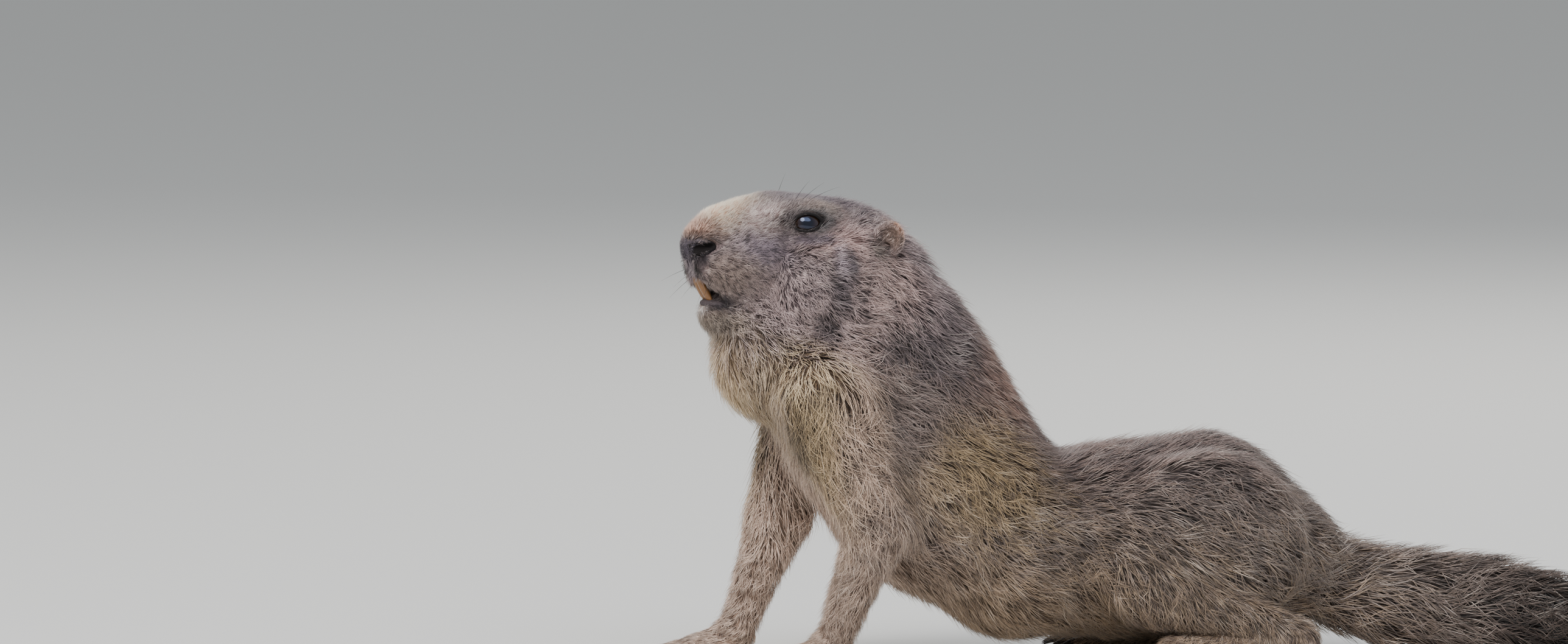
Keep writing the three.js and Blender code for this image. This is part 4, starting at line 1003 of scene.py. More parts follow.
def facing(back):
    """The turn of a camera or lamp that looks away from a direction."""
    return Vector(back).to_track_quat("Z", "Y").to_euler()


def set_camera():
    azimuth, elevation = math.radians(VIEW["azimuth"]), math.radians(VIEW["elevation"])
    level = math.cos(elevation)
    back = np.array([math.sin(azimuth) * level, -math.cos(azimuth) * level, math.sin(elevation)])
    right = np.array([math.cos(azimuth), math.sin(azimuth), 0])
    aim = (
        right * (FRAME_WIDTH / 2 - PHOTO_ORIGIN[0]) / PHOTO_SCALE
        + np.cross(back, right) * (PHOTO_ORIGIN[1] - FRAME_HEIGHT / 2) / PHOTO_SCALE
        + back * (head_point(MIDDLE_OF_THE_HEAD) @ back)
    )
    camera = linked("camera", bpy.data.cameras.new("camera"))
    camera.data.sensor_width = SENSOR
    camera.data.lens = SENSOR * VIEW["distance"] / (FRAME_WIDTH / PHOTO_SCALE)
    camera.data.clip_start, camera.data.clip_end = 0.1, 200
    camera.location = Vector(metres(aim + back * VIEW["distance"]))
    camera.rotation_euler = facing(back)
    bpy.context.scene.camera = camera


def set_floor():
    material, tree = material_named("studio_floor")
    clouds = add(tree, "ShaderNodeTexNoise", {"Scale": 3.0}).outputs["Fac"]
    base = mix_colours(tree, clouds, colour(0.60, 0.60, 0.58), colour(0.64, 0.64, 0.62))
    shader(tree, {"Base Color": base, "Roughness": 0.9, "Specular IOR Level": 0.1})
    mesh = bpy.data.meshes.new("studio_floor")
    h = FLOOR_SIZE / 2
    mesh.from_pydata([(-h, -h, 0), (h, -h, 0), (h, h, 0), (-h, h, 0)], [], [(0, 1, 2, 3)])
    mesh.materials.append(material)
    linked("studio_floor", mesh)


def set_lights():
    for name, place, width, height, power, tint in LIGHTS:
        lamp = bpy.data.lights.new(name, "AREA")
        lamp.shape, lamp.size, lamp.size_y = "ELLIPSE", width, height
        lamp.energy, lamp.color = power, tint
        holder = linked(name, lamp)
        holder.location = place
        holder.rotation_euler = facing(Vector(place) - Vector(LIT_PLACE))
    world = bpy.data.worlds.new("studio")
    world.use_nodes = True
    background = world.node_tree.nodes["Background"]
    background.inputs["Color"].default_value = colour(0.84, 0.87, 0.90)
    background.inputs["Strength"].default_value = 0.6
    bpy.context.scene.world = world


set_camera()
set_floor()
set_lights()

# Skin: one net over the whole body, finer on the face, with the eyes and the mouth cut into it
SKIN_STEP = 2.3
SKIN_BOX = ([-14, -118, -4], [478, 84, 236])
FACE = {"before": 74, "above": 158}
LEAST_HEIGHT = 0.4
# Centre and half sizes in the head's frame, those of a pair for its right side
NOSE_PAD = ([2, 0, 200.2], [6.4, 6.4, 5.2])
NOSE_WING = ([7.6, 8.8, 201.2], [7.6, 5.2, 4.0])
LIP_GROOVE = ([-3, 0, 192], [4.5, 0.8, 5.5])
NOSTRIL_SLIT = ([5.6, 10.2, 201.0], [5.4, 2.4, 1.7])
NOSTRIL_CURL = ([10.4, 12.6, 202.0], [3.4, 2.0, 1.1])
NOSTRIL_TAIL = ([4.6, 9.6, 195.4], [2.6, 1.3, 4.8])
LIP_CLEFT = ([9.6, -5, 181.7], [6.8, 1.9, 6.5])
CLEFT_SIDE = np.array([0.933, -0.358, 0])
CLEFT_AXES = [0.54 * CLEFT_SIDE - 0.84 * UP, 0.84 * CLEFT_SIDE + 0.54 * UP, [-0.358, -0.933, 0]]


def face_oval(q, row, side=1, axes=np.eye(3)):
    """The distance to one of the face's small ovals, from places in the head's frame."""
    centre, radii = row
    return oval_distance(q, mirrored(side, centre), radii, np.asarray(axes, float))


def nose_pad(points):
    q = in_head(points)
    pad = face_oval(q, NOSE_PAD)
    for side in SIDES.values():
        pad = soften(pad, face_oval(q, NOSE_WING, side), 3)
    return pad


def nostrils(points):
    """The two comma-shaped nostrils and the groove below them, negative inside."""
    q = in_head(points)
    cut = face_oval(q, LIP_GROOVE)
    for side in SIDES.values():
        axes = [unit([1, side * 0.8, 0.2]), unit([-0.8, side, 0]), UP]
        comma = soften(face_oval(q, NOSTRIL_SLIT, side, axes), face_oval(q, NOSTRIL_CURL, side, axes), 1.0)
        cut = soften(cut, soften(comma, face_oval(q, NOSTRIL_TAIL, side, axes), 1.2), 0.5)
    return cut


def lip_cleft(points):
    """The gap in the upper lip, drawn back a little on the left, that shows the incisors."""
    return face_oval(in_head(points), LIP_CLEFT, 1, CLEFT_AXES)


def skin_field(points):
    d = np.maximum(body(points, SKIN), LEAST_HEIGHT - points[:, 2])
    d = -soften(-d, nostrils(points) - 1.2, 1.0)
    return -soften(-d, lip_cleft(points), 0.6)


def build_skin():
    """The skin's points, set on its surface, and its triangles."""
    points, quads = surface_net(skin_field, *SKIN_BOX, SKIN_STEP)
    net = bmesh.new()
    for p in points:
        net.verts.new(p)
    net.verts.ensure_lookup_table()
    for quad in quads:
        net.faces.new([net.verts[i] for i in quad])
    local = in_head(points)
    face = (local[:, 0] < FACE["before"]) & (local[:, 2] > FACE["above"])
    edges = [e for e in net.edges if all(face[v.index] for v in e.verts)]
    bmesh.ops.subdivide_edges(net, edges=edges, cuts=1, use_grid_fill=True)
    bmesh.ops.triangulate(net, faces=net.faces[:])
    net.verts.ensure_lookup_table()
    points = settled(np.array([v.co for v in net.verts]), skin_field)
    triangles = np.array([[v.index for v in f.verts] for f in net.faces])
    net.free()
    return points, triangles


def gaze_axes(side):
    """The way the eye looks, the way along its lids and the way square to both."""
    gaze = head_way(unit([-0.25, side * 0.93, 0.25]))
    level = unit(np.cross(gaze, UP) * -side)
    above = unit(UP - gaze * (gaze @ UP))
    return gaze, level, unit(above + 0.1 * level)


OPENING = {"wide": 6.8, "tall": 4.1}
OPENING_POINTS = 72


def almond_curve(side, radius=0, depth=0):
    """The edge of the eye's opening, on a ball round the eye or on a plane across the gaze."""
    gaze, level, lid_way = gaze_axes(side)
    level = unit(level - lid_way * (level @ lid_way))
    turns = 2 * math.pi * np.arange(OPENING_POINTS) / OPENING_POINTS
    u = OPENING["wide"] * np.cos(turns)
    v = OPENING["tall"] * np.sign(np.sin(turns)) * np.abs(np.sin(turns)) ** 1.15
    ahead = np.sqrt(radius**2 - u**2 - v**2) if radius else np.full(OPENING_POINTS, float(depth))
    return eye_centre(side) + np.outer(u, level) + np.outer(v, lid_way) + np.outer(ahead, gaze)


def almond_net(side):
    """A plug that cuts the eye's opening."""
    outer, inner = almond_curve(side, depth=14), almond_curve(side, depth=2)
    count = len(outer)
    points = np.concatenate([outer, inner])
    faces = [list(range(count)), [count + i for i in range(count)][::-1]]
    for i in range(count):
        after = (i + 1) % count
        faces.append([after, i, count + i, count + after])
    quad = points[faces[2][:3]]
    if np.cross(quad[1] - quad[0], quad[2] - quad[0]) @ (quad[0] - points.mean(0)) < 0:
        faces = [face[::-1] for face in faces]
    return points, faces


MOUTH_AXES = np.array([head_way(unit([1, 0, -0.08])), HEAD_RIGHT, head_way(unit([0.08, 0, 1]))])
MOUTH = ([15.5, 0, 175.8], [12, 14.5, 0.55])
LOWER_LIP = ([18.6, 0, 173.9], [8.2, 8.7, 2.9])
SOCKET_GAP = 0.35
LIMBS = ("upper_arm", "forearm", "forepaw", "thigh", "shank", "hindfoot")
FLESH = ["head", "neck", "torso", "tail_base", "tail_tip"]
FLESH += [f"{limb}_{side}" for limb in LIMBS for side in SIDES]


def build_face_openings(skin):
    """The mouth and the eyes' sockets and openings cut into the skin, and the lower lip set in the mouth."""
    cuts = [ball_net(head_point(MOUTH[0]), MOUTH[1], MOUTH_AXES)]
    for side in SIDES.values():
        cuts.append(ball_net(eye_centre(side), EYE["radius"] + SOCKET_GAP, around=48, up=32))
        cuts.append(almond_net(side))
    carve(skin, cuts)
    points, faces = ball_net(head_point(LOWER_LIP[0]), LOWER_LIP[1], MOUTH_AXES, 48, 24)
    return face_piece("lower_lip", points, faces, lip_material)


skin_points, skin_triangles = build_skin()
skin = triangle_piece("skin", skin_points, skin_triangles, skin_material)
lower_lip = build_face_openings(skin)
finished(skin, "skin", "torso_fur", FLESH)
finished(lower_lip, "lower_lip", "nose_skin")


# Nose pad with its nostrils
NOSE_BOX = ([-9, -17, 184], [22, 17, 212])
NOSE_STEP = 0.4
SMALL_MOVES = 2, 0.3  # turns and longest move when a small net is set on its surface


def nose_field(points):
    pad = nose_pad(points)
    d = -soften(-pad, -(body(points) + 0.8), 1.0)
    return -soften(-d, nostrils(points), 0.8)


def build_nose():
    low, high = NOSE_BOX
    points, quads = surface_net(nose_field, head_point(low), head_point(high), NOSE_STEP)
    points = settled(points, nose_field, *SMALL_MOVES)
    nose = face_piece("nose", points, quads, nose_material)
    set_values(nose.data, hollow=np.clip(nostrils(points), -3, 3))
    finished(nose, "nose", "nose_skin", ["nose"])
    return points, quads


nose_net = build_nose()

# Eyes with their dark lid rims
RIM = {"out": 0.6, "radius": 0.75, "sides": 10}


def build_eye(name, side):
    gaze, level, lid_way = gaze_axes(side)
    points, faces = ball_net(eye_centre(side), EYE["radius"], [level, lid_way, gaze], 48, 32)
    eye = face_piece("eye_" + name, points, faces, eye_material)
    set_values(eye.data, iris=np.arccos(np.clip(unit(points - eye_centre(side)) @ gaze, -1, 1)))
    finished(eye, "eyeball_" + name, "eye", ["eye_" + name])


def build_lid_rim(name, side):
    edge = almond_curve(side, EYE["radius"] + RIM["out"])
    closed = np.concatenate([edge[-1:], edge, edge[:1]])
    ups = unit(closed - eye_centre(side))
    rings = tube_rings(closed, np.full(len(closed), RIM["radius"]), RIM["sides"], ups)[1:-1]
    faces = tube_faces(len(edge), RIM["sides"], closed=True)
    rim = face_piece("lid_rim_" + name, rings.reshape(-1, 3), faces, lid_material)
    finished(rim, "lid_rim_" + name, "nose_skin")


for name, side in SIDES.items():
    build_eye(name, side)
    build_lid_rim(name, side)

# Ears: a small cup with a notch at its foot
EAR_WALL = np.array([1.9, 0.2, 2.1])
EAR_ROOT = {"inset": [2, 7, 4], "radii": [5.5, 6, 6]}
EAR_NOTCH = [2.6, 4.6, 2.4]
EAR_STEP = 0.55
EAR_REACH = 16


def ear_axes(side):
    """Across the ear, the way it faces, and up it."""
    facing_way = head_way(unit([-0.45, side * 0.85, 0.1]))
    lean = head_way([0.3, 0, 1])
    tall = unit(lean - facing_way * (facing_way @ lean))
    return np.array([np.cross(facing_way, tall), facing_way, tall])


def ear_middle(side):
    return head_point([EAR["x"], side * EAR["y"], EAR["z"]])


def ear_field_for(side):
    axes = ear_axes(side)
    _, outwards, tall = axes
    middle = ear_middle(side)
    inset = EAR_ROOT["inset"]
    root = head_point([EAR["x"] - inset[0], side * (EAR["y"] - inset[1]), EAR["z"] - inset[2]])
    cup = middle + outwards * 3 - tall * 0.8
    notch = middle + outwards - tall * 3.6
    sizes = np.array([EAR["wide"], EAR["thick"], EAR["tall"]])

    def field(points):
        d = oval_distance(points, middle, sizes, axes) + 0.35
        d = soften(d, oval_distance(points, root, EAR_ROOT["radii"], axes), 1.5)
        hollow = oval_distance(points, cup, sizes - EAR_WALL, axes)
        hollow = soften(hollow, oval_distance(points, notch, EAR_NOTCH, axes), 0.8)
        return -soften(-d, hollow, 0.7)

    return field


def build_ear(name, side):
    field, middle = ear_field_for(side), ear_middle(side)
    points, quads = surface_net(field, middle - EAR_REACH, middle + EAR_REACH, EAR_STEP)
    points = settled(points, field, *SMALL_MOVES)
    ear = face_piece("ear_" + name, points, quads, skin_material)
    finished(ear, "pinna_" + name, "ear_skin", ["ear_" + name])
    return (points, quads), field


ears = {name: build_ear(name, side) for name, side in SIDES.items()}

# Upper incisors, curved back and thinner at their cutting edge
TOOTH = {"root": [8.4, 2.3, 187.5], "back": 6.2, "drop": 12.2, "half_wide": 2.15}
TOOTH_EDGE = {"from": 0.8, "length": 0.2, "thinned": 0.9}
TOOTH_THICK = 1.8
TOOTH_STATIONS, TOOTH_SIDES = 9, 12


def build_incisor(name, side):
    t = np.linspace(0, 1, TOOTH_STATIONS)[:, None]
    root = head_point(mirrored(side, TOOTH["root"]))
    places = root + HEAD_BACK * (TOOTH["back"] * t**1.3) - UP * (TOOTH["drop"] * t)
    forward = head_way(unit([-0.85, 0, -0.5]))
    edge = np.maximum(t - TOOTH_EDGE["from"], 0)
    thick = TOOTH_THICK - TOOTH_EDGE["thinned"] * edge / TOOTH_EDGE["length"]
    angles = (2 * math.pi * np.arange(TOOTH_SIDES) / TOOTH_SIDES)[None, :, None]
    ring = places[:, None] + np.cos(angles) * HEAD_RIGHT * TOOTH["half_wide"]
    ring = ring + np.sin(angles) * forward * thick[:, None]
    faces = tube_faces(TOOTH_STATIONS, TOOTH_SIDES)
    tooth = face_piece("incisor_" + name, ring.reshape(-1, 3), faces, tooth_material)
    turned_outwards(tooth.data)
    finished(tooth, "tooth_" + name, "incisor", ["incisor_" + name])


for name, side in SIDES.items():
    build_incisor(name, side)


# Claws: one horn shape set on a point for each claw
CLAW = {"behind": 0.25, "bend": 0.30, "half_wide": 0.145, "half_tall": 0.18}  # in shares of its length
CLAW_STATIONS, CLAW_SIDES = 11, 12
CLAW_RISE = 1


def claw_shape():
    """A claw of length 1 along +X, bent down towards its point."""
    stations = np.linspace(-CLAW["behind"], 1, CLAW_STATIONS)
    ahead = np.maximum(stations, 0)
    places = np.stack([stations, np.zeros(CLAW_STATIONS), -CLAW["bend"] * ahead**2], 1)
    taper = np.clip(1 - ahead, 0.03, 1) ** 0.7
    points = []
    for place, size in zip(places, taper):
        for k in range(CLAW_SIDES):
            a = 2 * math.pi * k / CLAW_SIDES
            beside, above = CLAW["half_wide"] * size * math.cos(a), CLAW["half_tall"] * size * math.sin(a)
            points.append(list(place + [0, beside, above]))
    mesh = bpy.data.meshes.new("claw_shape")
    mesh.from_pydata(points, [], tube_faces(CLAW_STATIONS, CLAW_SIDES))
    turned_outwards(mesh)
    mesh.shade_smooth()
    return linked("claw_shape", mesh)


def claw_tree():
    """Geometry nodes that set the claw shape on every point, turned and sized by its attributes."""
    tree, start, end = group_tree(
        "claw_set", "GeometryNodeTree",
        {"Geometry": "Geometry", "Claw": "Object", "Scale": "Float", "Horn": "Material"},
        {"Geometry": "Geometry"},
    )

    def point_value(name):
        named = add(tree, "GeometryNodeInputNamedAttribute", {"Name": name}, data_type="FLOAT")
        return named.outputs["Attribute"]

    shape = add(tree, "GeometryNodeObjectInfo", {"Object": start["Claw"]})
    turn = add(tree, "ShaderNodeCombineXYZ", {"Z": point_value("heading")})
    placed = add(tree, "GeometryNodeInstanceOnPoints", {
        "Points": start["Geometry"], "Instance": shape.outputs["Geometry"],
        "Rotation": turn.outputs[0], "Scale": sums(tree, "MULTIPLY", point_value("length"), start["Scale"]),
    })
    real = add(tree, "GeometryNodeRealizeInstances", {"Geometry": placed.outputs["Instances"]})
    horned = add(tree, "GeometryNodeSetMaterial", {"Geometry": real.outputs[0], "Material": start["Horn"]})
    tree.links.new(horned.outputs[0], end["Geometry"])
    return tree


def set_inputs(modifier, values):
    """The modifier's inputs, set by their sockets' identifiers."""
    for item in modifier.node_group.interface.items_tree:
        if item.item_type == "SOCKET" and item.in_out == "INPUT" and item.name in values:
            modifier[item.identifier] = values[item.name]


def build_claws():
    bases, headings, lengths = [], [], []
    for _, knuckle, tip, length in claws:
        way = unit([tip[0] - knuckle[0], tip[1] - knuckle[1], 0])
        bases.append(tip + [0, 0, CLAW_RISE])
        headings.append(math.atan2(way[1], way[0]))
        lengths.append(length)
    mesh = bpy.data.meshes.new("claws")
    mesh.from_pydata(metres(bases).tolist(), [], [])
    set_values(mesh, heading=headings, length=lengths)
    obj = linked("claws", mesh)
    shape = claw_shape()
    modifier = obj.modifiers.new("claw_set", "NODES")
    modifier.node_group = claw_tree()
    set_inputs(modifier, {"Claw": shape, "Scale": MM, "Horn": claw_material})
    applied(obj)
    bpy.data.objects.remove(shape)
    finished(obj, "claws", "claw", [name for name, *_ in claws])


build_claws()

# Whiskers
WHISKER = {"radius": 0.12, "droop": 0.14, "sunk": 1.5}
WHISKER_STATIONS, WHISKER_SIDES = 9, 5
WHISKER_ROWS, WHISKER_COLUMNS = 2, 3


def skin_below(start, way):
    """The first place on the skin from a start along a way."""
    at = start + way * np.linspace(0, 40, 160)[:, None]
    return at[np.nonzero(body(at, SKIN) < 0)[0][0]]


def whisker_places():
    """Root, way and length of each whisker on the muzzle and each long hair over the eye."""
    for side in SIDES.values():
        for row in range(WHISKER_ROWS):
            for column in range(WHISKER_COLUMNS):
                start = head_point([12 + 4 * column, side * 30, 186.5 + 4 * row - 0.6 * column])
                root = skin_below(start, head_way([0, -side, 0]))
                fan = [-0.7 + 0.42 * column, side * (0.9 + 0.12 * column), -0.62 + 0.2 * row]
                way = head_way(fan) + 0.1 * rng.normal(size=3)
                yield root, way, 15 + 5 * column + 7 * rng.random()
        for k in range(3 if side < 0 else 1):
            root = skin_below(head_point([53 + 2.4 * k, side * (12 + 1.5 * k), 240]), -UP)
            way = head_way([0.35 + 0.5 * k, side * 0.2, 1.0 - 0.1 * k]) + 0.06 * rng.normal(size=3)
            yield root, way, 13 + 2 * rng.random() + 2 * k


def build_whiskers():
    """Thin tapered hairs, each on a bent line from its root."""
    t = np.linspace(0, 1, WHISKER_STATIONS)
    radii = WHISKER["radius"] * np.maximum(1 - t, 0.08) ** 0.8
    rings, faces = [], []
    for root, way, length in whisker_places():
        way = unit(way)
        places = root + way * (length * t)[:, None] - UP * (WHISKER["droop"] * length * t**2)[:, None]
        places[0] -= way * WHISKER["sunk"]
        ups = np.tile(unit(np.cross(way, [0.3, 0.9, 0.2])), (WHISKER_STATIONS, 1))
        start = len(rings) * WHISKER_STATIONS * WHISKER_SIDES
        rings.append(tube_rings(places, radii, WHISKER_SIDES, ups).reshape(-1, 3))
        faces += [[i + start for i in face] for face in tube_faces(WHISKER_STATIONS, WHISKER_SIDES)]
    finished(face_piece("whiskers", np.concatenate(rings), faces, whisker_material), "whiskers", "head_fur")


build_whiskers()

# Coat: thin tapered tufts along the lie of the hair, drawn together into clumps
COVER = 2.7
HAIR_SHARE = 1
SPIKE_HAIR, SHORT_HAIR = 3.6, 8.0  # depth of coat up to which a tuft has the fewest, then fewer, stations
REAR_FROM = 150
TUFTS = [
    # places along a tuft, and its width at all of them but the tip
    (np.array([0, 1.0]), np.array([1.7])),
    (np.array([0, 0.5, 1]), np.array([0.9, 0.95])),
    (np.array([0, 0.35, 0.72, 1]), np.array([0.75, 1.0, 0.72])),
]
FEWEST_TUFTS = 8
TUFT_FILL = 0.62  # share of its length times its width that a tuft covers
TUFT_CREST = 0.9  # height of a tuft in shares of half its width
HAIR_LENGTH, HAIR_WIDTH = (1.2, 1.15), (0.155, 0.014)  # the least, and more for each millimetre of depth
COARSE_REAR = {"from": 140, "to": 230, "more": 0.6}
COARSE_RIGHT = {"from": 0, "to": 24, "more": 0.5}
COARSE_PAWS = {"depth": 3, "below": 40, "times": 1.5}
LOOSE = {"clump": 0.75, "hair": 0.5, "ripple": 0.7, "swirl": 0.5, "shaggy": 0.2, "sleek": 0.35}
CURL = {"hair": 0.3, "clump": 0.2, "shaggy": 0.35}
DRAWN = {"least": 0.42, "by_depth": 0.03, "most": 0.72, "sleek": 0.4}
# How high the tips stand over the coat's surface, in shares of its depth
PROUD = {"least": -0.20, "hair": 0.14, "clump": 0.09, "wave": 0.05, "shaggy": 0.10, "sleek": 0.08}
PROUDEST = 0.40
GUARD = {"share": 0.10, "longer": 1.25, "narrower": 0.8, "proud": 0.16, "prouder": 0.30}
RIPPLE, SWIRL, SWELL = (14, 5), (40, 6), (10, 8)  # length in millimetres, seed
WAVES = 7
ROOT_SUNK = 0.3
MOST_LIFT = 5
FLOOR_GAP = 0.5
VARIED = 0.75, 0.5  # the least of a hair's length or width, and the random share over it
SHAGGY_LONGER = 0.8
PATCH = 0.003  # side of one tuft's place on the unwrap
CREASES = [
    # line on the left side in the head's frame, how wide, how deep
    ([72.5, 40, 197], [67, 41.5, 181], 4.0, 2.8),
    ([67, 41.5, 181], [59, 37.5, 161], 5.5, 4.5),
    ([36, 23, 207], [31, 23, 197], 4.0, 0.8),
    ([96, 52, 140], [94, 52, 112], 8.0, 4.5),
    ([40, 44, 120], [41, 44, 95], 5.0, 4.5),
]
RIDGES = [
    # the same, with how high
    ([68, 39, 197], [61, 41, 181], 4.0, 1.3),
    ([61, 41, 181], [50, 38, 163], 4.5, 1.3),
    ([38, 38, 148], [78, 52, 152], 7.0, 2.0),
]
# Where no hair grows: depths and heights under which a place counts as bare
BARE = {
    "inside": -0.6, "eye": (11, 7.8, 4.8), "nostril": 1.0, "nose": (0.6, 2.2), "cleft": 0.5, "lip": -1.5,
    "sole": (2.6, 2.4),
}
# Borders of the coat's pieces, and the slanting line on which the neck ends
HEAD_PART = {"before": 104, "above": 158, "depth": 8.5, "face_before": 42}
LIMB_PART = {"before": 120, "beside": 26, "below": 105, "depth": 0.3}
FOOT_PART = {"depth": 4.5, "from": 150, "below": 40}
NECK_END = {"x": 100, "z": 138, "way": (-0.464, 0.886)}
CHEST_TO, LOIN_TO, TAIL_FROM = 112, 195, 308
# Middle and half sizes of the places with a coat of their own
SHAGGY = ([58, 58, 112], [28, 24, 46])
SLEEK = ([26, 0, 148], [30, 34, 36])
FAN = ([54, 60, 138], [34, 26, 40])
FAN_REACH, FAN_SHARE = 20, 0.6


def ease(value, low, high):
    t = np.clip((value - low) / (high - low), 0, 1)
    return t * t * (3 - 2 * t)


def coarseness(points, depth):
    """How much longer and wider the tufts are than on the face and the near shoulder."""
    x, y, z = points.T
    wide = 1
    for place, more in ((x, COARSE_REAR), (y, COARSE_RIGHT)):
        wide = wide * (1 + more["more"] * ease(place, more["from"], more["to"]))
    paws = (depth < COARSE_PAWS["depth"]) & (z < COARSE_PAWS["below"])
    return wide * np.where(paws, COARSE_PAWS["times"], 1)


def hair_length(depth, coarse):
    return (HAIR_LENGTH[0] + HAIR_LENGTH[1] * depth) * coarse**0.6


def hair_width(depth, coarse):
    return (HAIR_WIDTH[0] + HAIR_WIDTH[1] * depth) * coarse


def near_oval(points, centre, sizes):
    """1 at an oval's middle, fading outwards, on both sides of the body."""
    q = (np.stack([points[:, 0], np.abs(points[:, 1]), points[:, 2]], 1) - centre) / sizes
    return np.exp(-0.8 * rows_dot(q, q))


def waves(points, length, seed):
    """A smooth random value with no lean to either side, the same for each run."""
    dice = np.random.default_rng(seed)
    total = np.zeros(len(points))
    for _ in range(WAVES):
        way = unit(dice.normal(size=3)) * 2 * math.pi / (length * (0.6 + 0.9 * dice.random()))
        total += np.sin(points @ way + 2 * math.pi * dice.random())
    return total / math.sqrt(WAVES / 2)


def pressed(points):
    """How far the coat's tips sink in the folds and stand up beside them."""
    return along_lines(points, CREASES) - along_lines(points, RIDGES)


def triangle_areas(corners):
    return np.linalg.norm(np.cross(corners[:, 1] - corners[:, 0], corners[:, 2] - corners[:, 0]), axis=1) / 2


def sample_roots(points, triangles):
    """Roots spread over a net, closer together where the hair is short."""
    corners = points[triangles]
    middle = corners.mean(1)
    depth, _ = coat_at(middle)
    coarse = coarseness(middle, depth)
    tuft = hair_length(depth, coarse) * hair_width(depth, coarse) * TUFT_FILL
    total = np.cumsum(triangle_areas(corners) * COVER * HAIR_SHARE / tuft)
    count = int(total[-1])
    picks = (np.arange(count) + rng.random(count)) * total[-1] / count
    chosen = np.minimum(np.searchsorted(total, picks), len(triangles) - 1)
    r1, r2 = np.sqrt(rng.random(count)), rng.random(count)
    weights = np.stack([1 - r1, r1 * (1 - r2), r1 * r2], 1)
    return np.einsum("ij,ijk->ik", weights, corners[chosen])


def spread_over(points, quads, density):
    """Roots spread at random over a small net, so many to the square millimetre."""
    corners = points[np.concatenate([quads[:, [0, 1, 2]], quads[:, [0, 2, 3]]])]
    area = triangle_areas(corners)
    count = int(area.sum() * density * HAIR_SHARE)
    chosen = rng.choice(len(corners), count, p=area / area.sum())
    return np.einsum("ij,ijk->ik", rng.dirichlet([1, 1, 1], count), corners[chosen])


def bare_places(roots, depth):
    """True where no hair grows: eyes, lips' edge, nose, inside the mouth, under the feet."""
    bare = body(roots, SKIN) < BARE["inside"]
    reach, wide, tall = BARE["eye"]
    for side in SIDES.values():
        away = roots - eye_centre(side)
        _, level, lid_way = gaze_axes(side)
        opening = np.hypot(away @ level / wide, away @ lid_way / tall) < 1
        bare |= (np.linalg.norm(away, axis=1) < reach) & opening
    nostril = nostrils(roots)
    pad, ring = BARE["nose"]
    bare |= (nostril < BARE["nostril"]) | ((nose_pad(roots) < pad) & (nostril < ring))
    bare |= lip_cleft(roots) < BARE["cleft"]
    bare |= oval_distance(roots, head_point(LOWER_LIP[0]), LOWER_LIP[1], MOUTH_AXES) < BARE["lip"]
    thin, low = BARE["sole"]
    return bare | ((depth < thin) & (roots[:, 2] < low))


def varied(count):
    least, more = VARIED
    return least + more * rng.random(count)


def clumped(roots, each):
    """For each root, the middle of the clump that it belongs to and the clump's number."""
    count = max(1, int(len(roots) / each))
    centres = rng.choice(len(roots), count, replace=False)
    tree = KDTree(count)
    for i, c in enumerate(centres):
        tree.insert(roots[c], i)
    tree.balance()
    member = np.array([tree.find(root)[1] for root in roots])
    return roots[centres[member]], member, count


def grow(roots, depth, lie, length, stations, each, spread, field):
    """Stations of every hair from root to tip: places and outward ways."""
    count = len(roots)
    d, slope = slope_of(field, roots)
    outward = unit(slope)
    deep = -d
    shag, smooth = near_oval(roots, *SHAGGY), near_oval(roots, *SLEEK)
    middles, member, clumps = clumped(roots, each)
    clump_turn = rng.normal(0, 1, clumps)[member]
    clump_high = rng.normal(0, 1, clumps)[member]
    loose = spread * (1 + LOOSE["shaggy"] * shag) * (1 - LOOSE["sleek"] * smooth)
    turn = loose * (LOOSE["clump"] * clump_turn + LOOSE["hair"] * rng.normal(0, 1, count))
    turn += loose * (LOOSE["ripple"] * waves(roots, *RIPPLE) + LOOSE["swirl"] * waves(roots, *SWIRL))
    drawn = np.clip(DRAWN["least"] + DRAWN["by_depth"] * depth, 0, DRAWN["most"])
    pull = (middles - roots) * (drawn * (1 - DRAWN["sleek"] * smooth))[:, None]
    way = unit(lie - outward * rows_dot(lie, outward)[:, None])
    way = np.cos(turn)[:, None] * way + np.sin(turn)[:, None] * np.cross(outward, way)
    curl = rng.normal(0, 1, count) * CURL["hair"]
    curl = curl + rng.normal(0, 1, clumps)[member] * (CURL["clump"] + CURL["shaggy"] * shag)
    guard = rng.random(count) < GUARD["share"]
    proud = PROUD["least"] + PROUD["hair"] * rng.random(count)
    proud = proud + PROUD["clump"] * clump_high + PROUD["wave"] * waves(roots, *SWELL)
    over = np.where(guard, GUARD["proud"] + GUARD["prouder"] * rng.random(count), 0)
    proud += PROUD["shaggy"] * shag + PROUD["sleek"] * smooth + over
    length = length * varied(count) * np.where(guard, GUARD["longer"], 1) * (1 + SHAGGY_LONGER * shag)
    tip_level = deep * np.minimum(proud, PROUDEST) - pressed(roots)
    place = roots - outward * ROOT_SUNK
    places, ups = [place], [outward]
    for before, t in zip(stations, stations[1:]):
        way = unit(way + np.cross(outward, way) * (curl * (t - before))[:, None])
        place = place + way * (length * (t - before))[:, None] + pull * (t**1.5 - before**1.5)
        d, slope = slope_of(field, place)
        outward = unit(slope)
        level = -deep + (tip_level + deep) * t**0.75
        place = place + outward * np.clip(level - d, -MOST_LIFT, MOST_LIFT)[:, None]
        place[:, 2] = np.maximum(place[:, 2], FLOOR_GAP)
        way = unit(way - outward * rows_dot(way, outward)[:, None])
        places.append(place)
        ups.append(outward)
    return np.stack(places, 1), np.stack(ups, 1), guard, rng.random(clumps)[member]


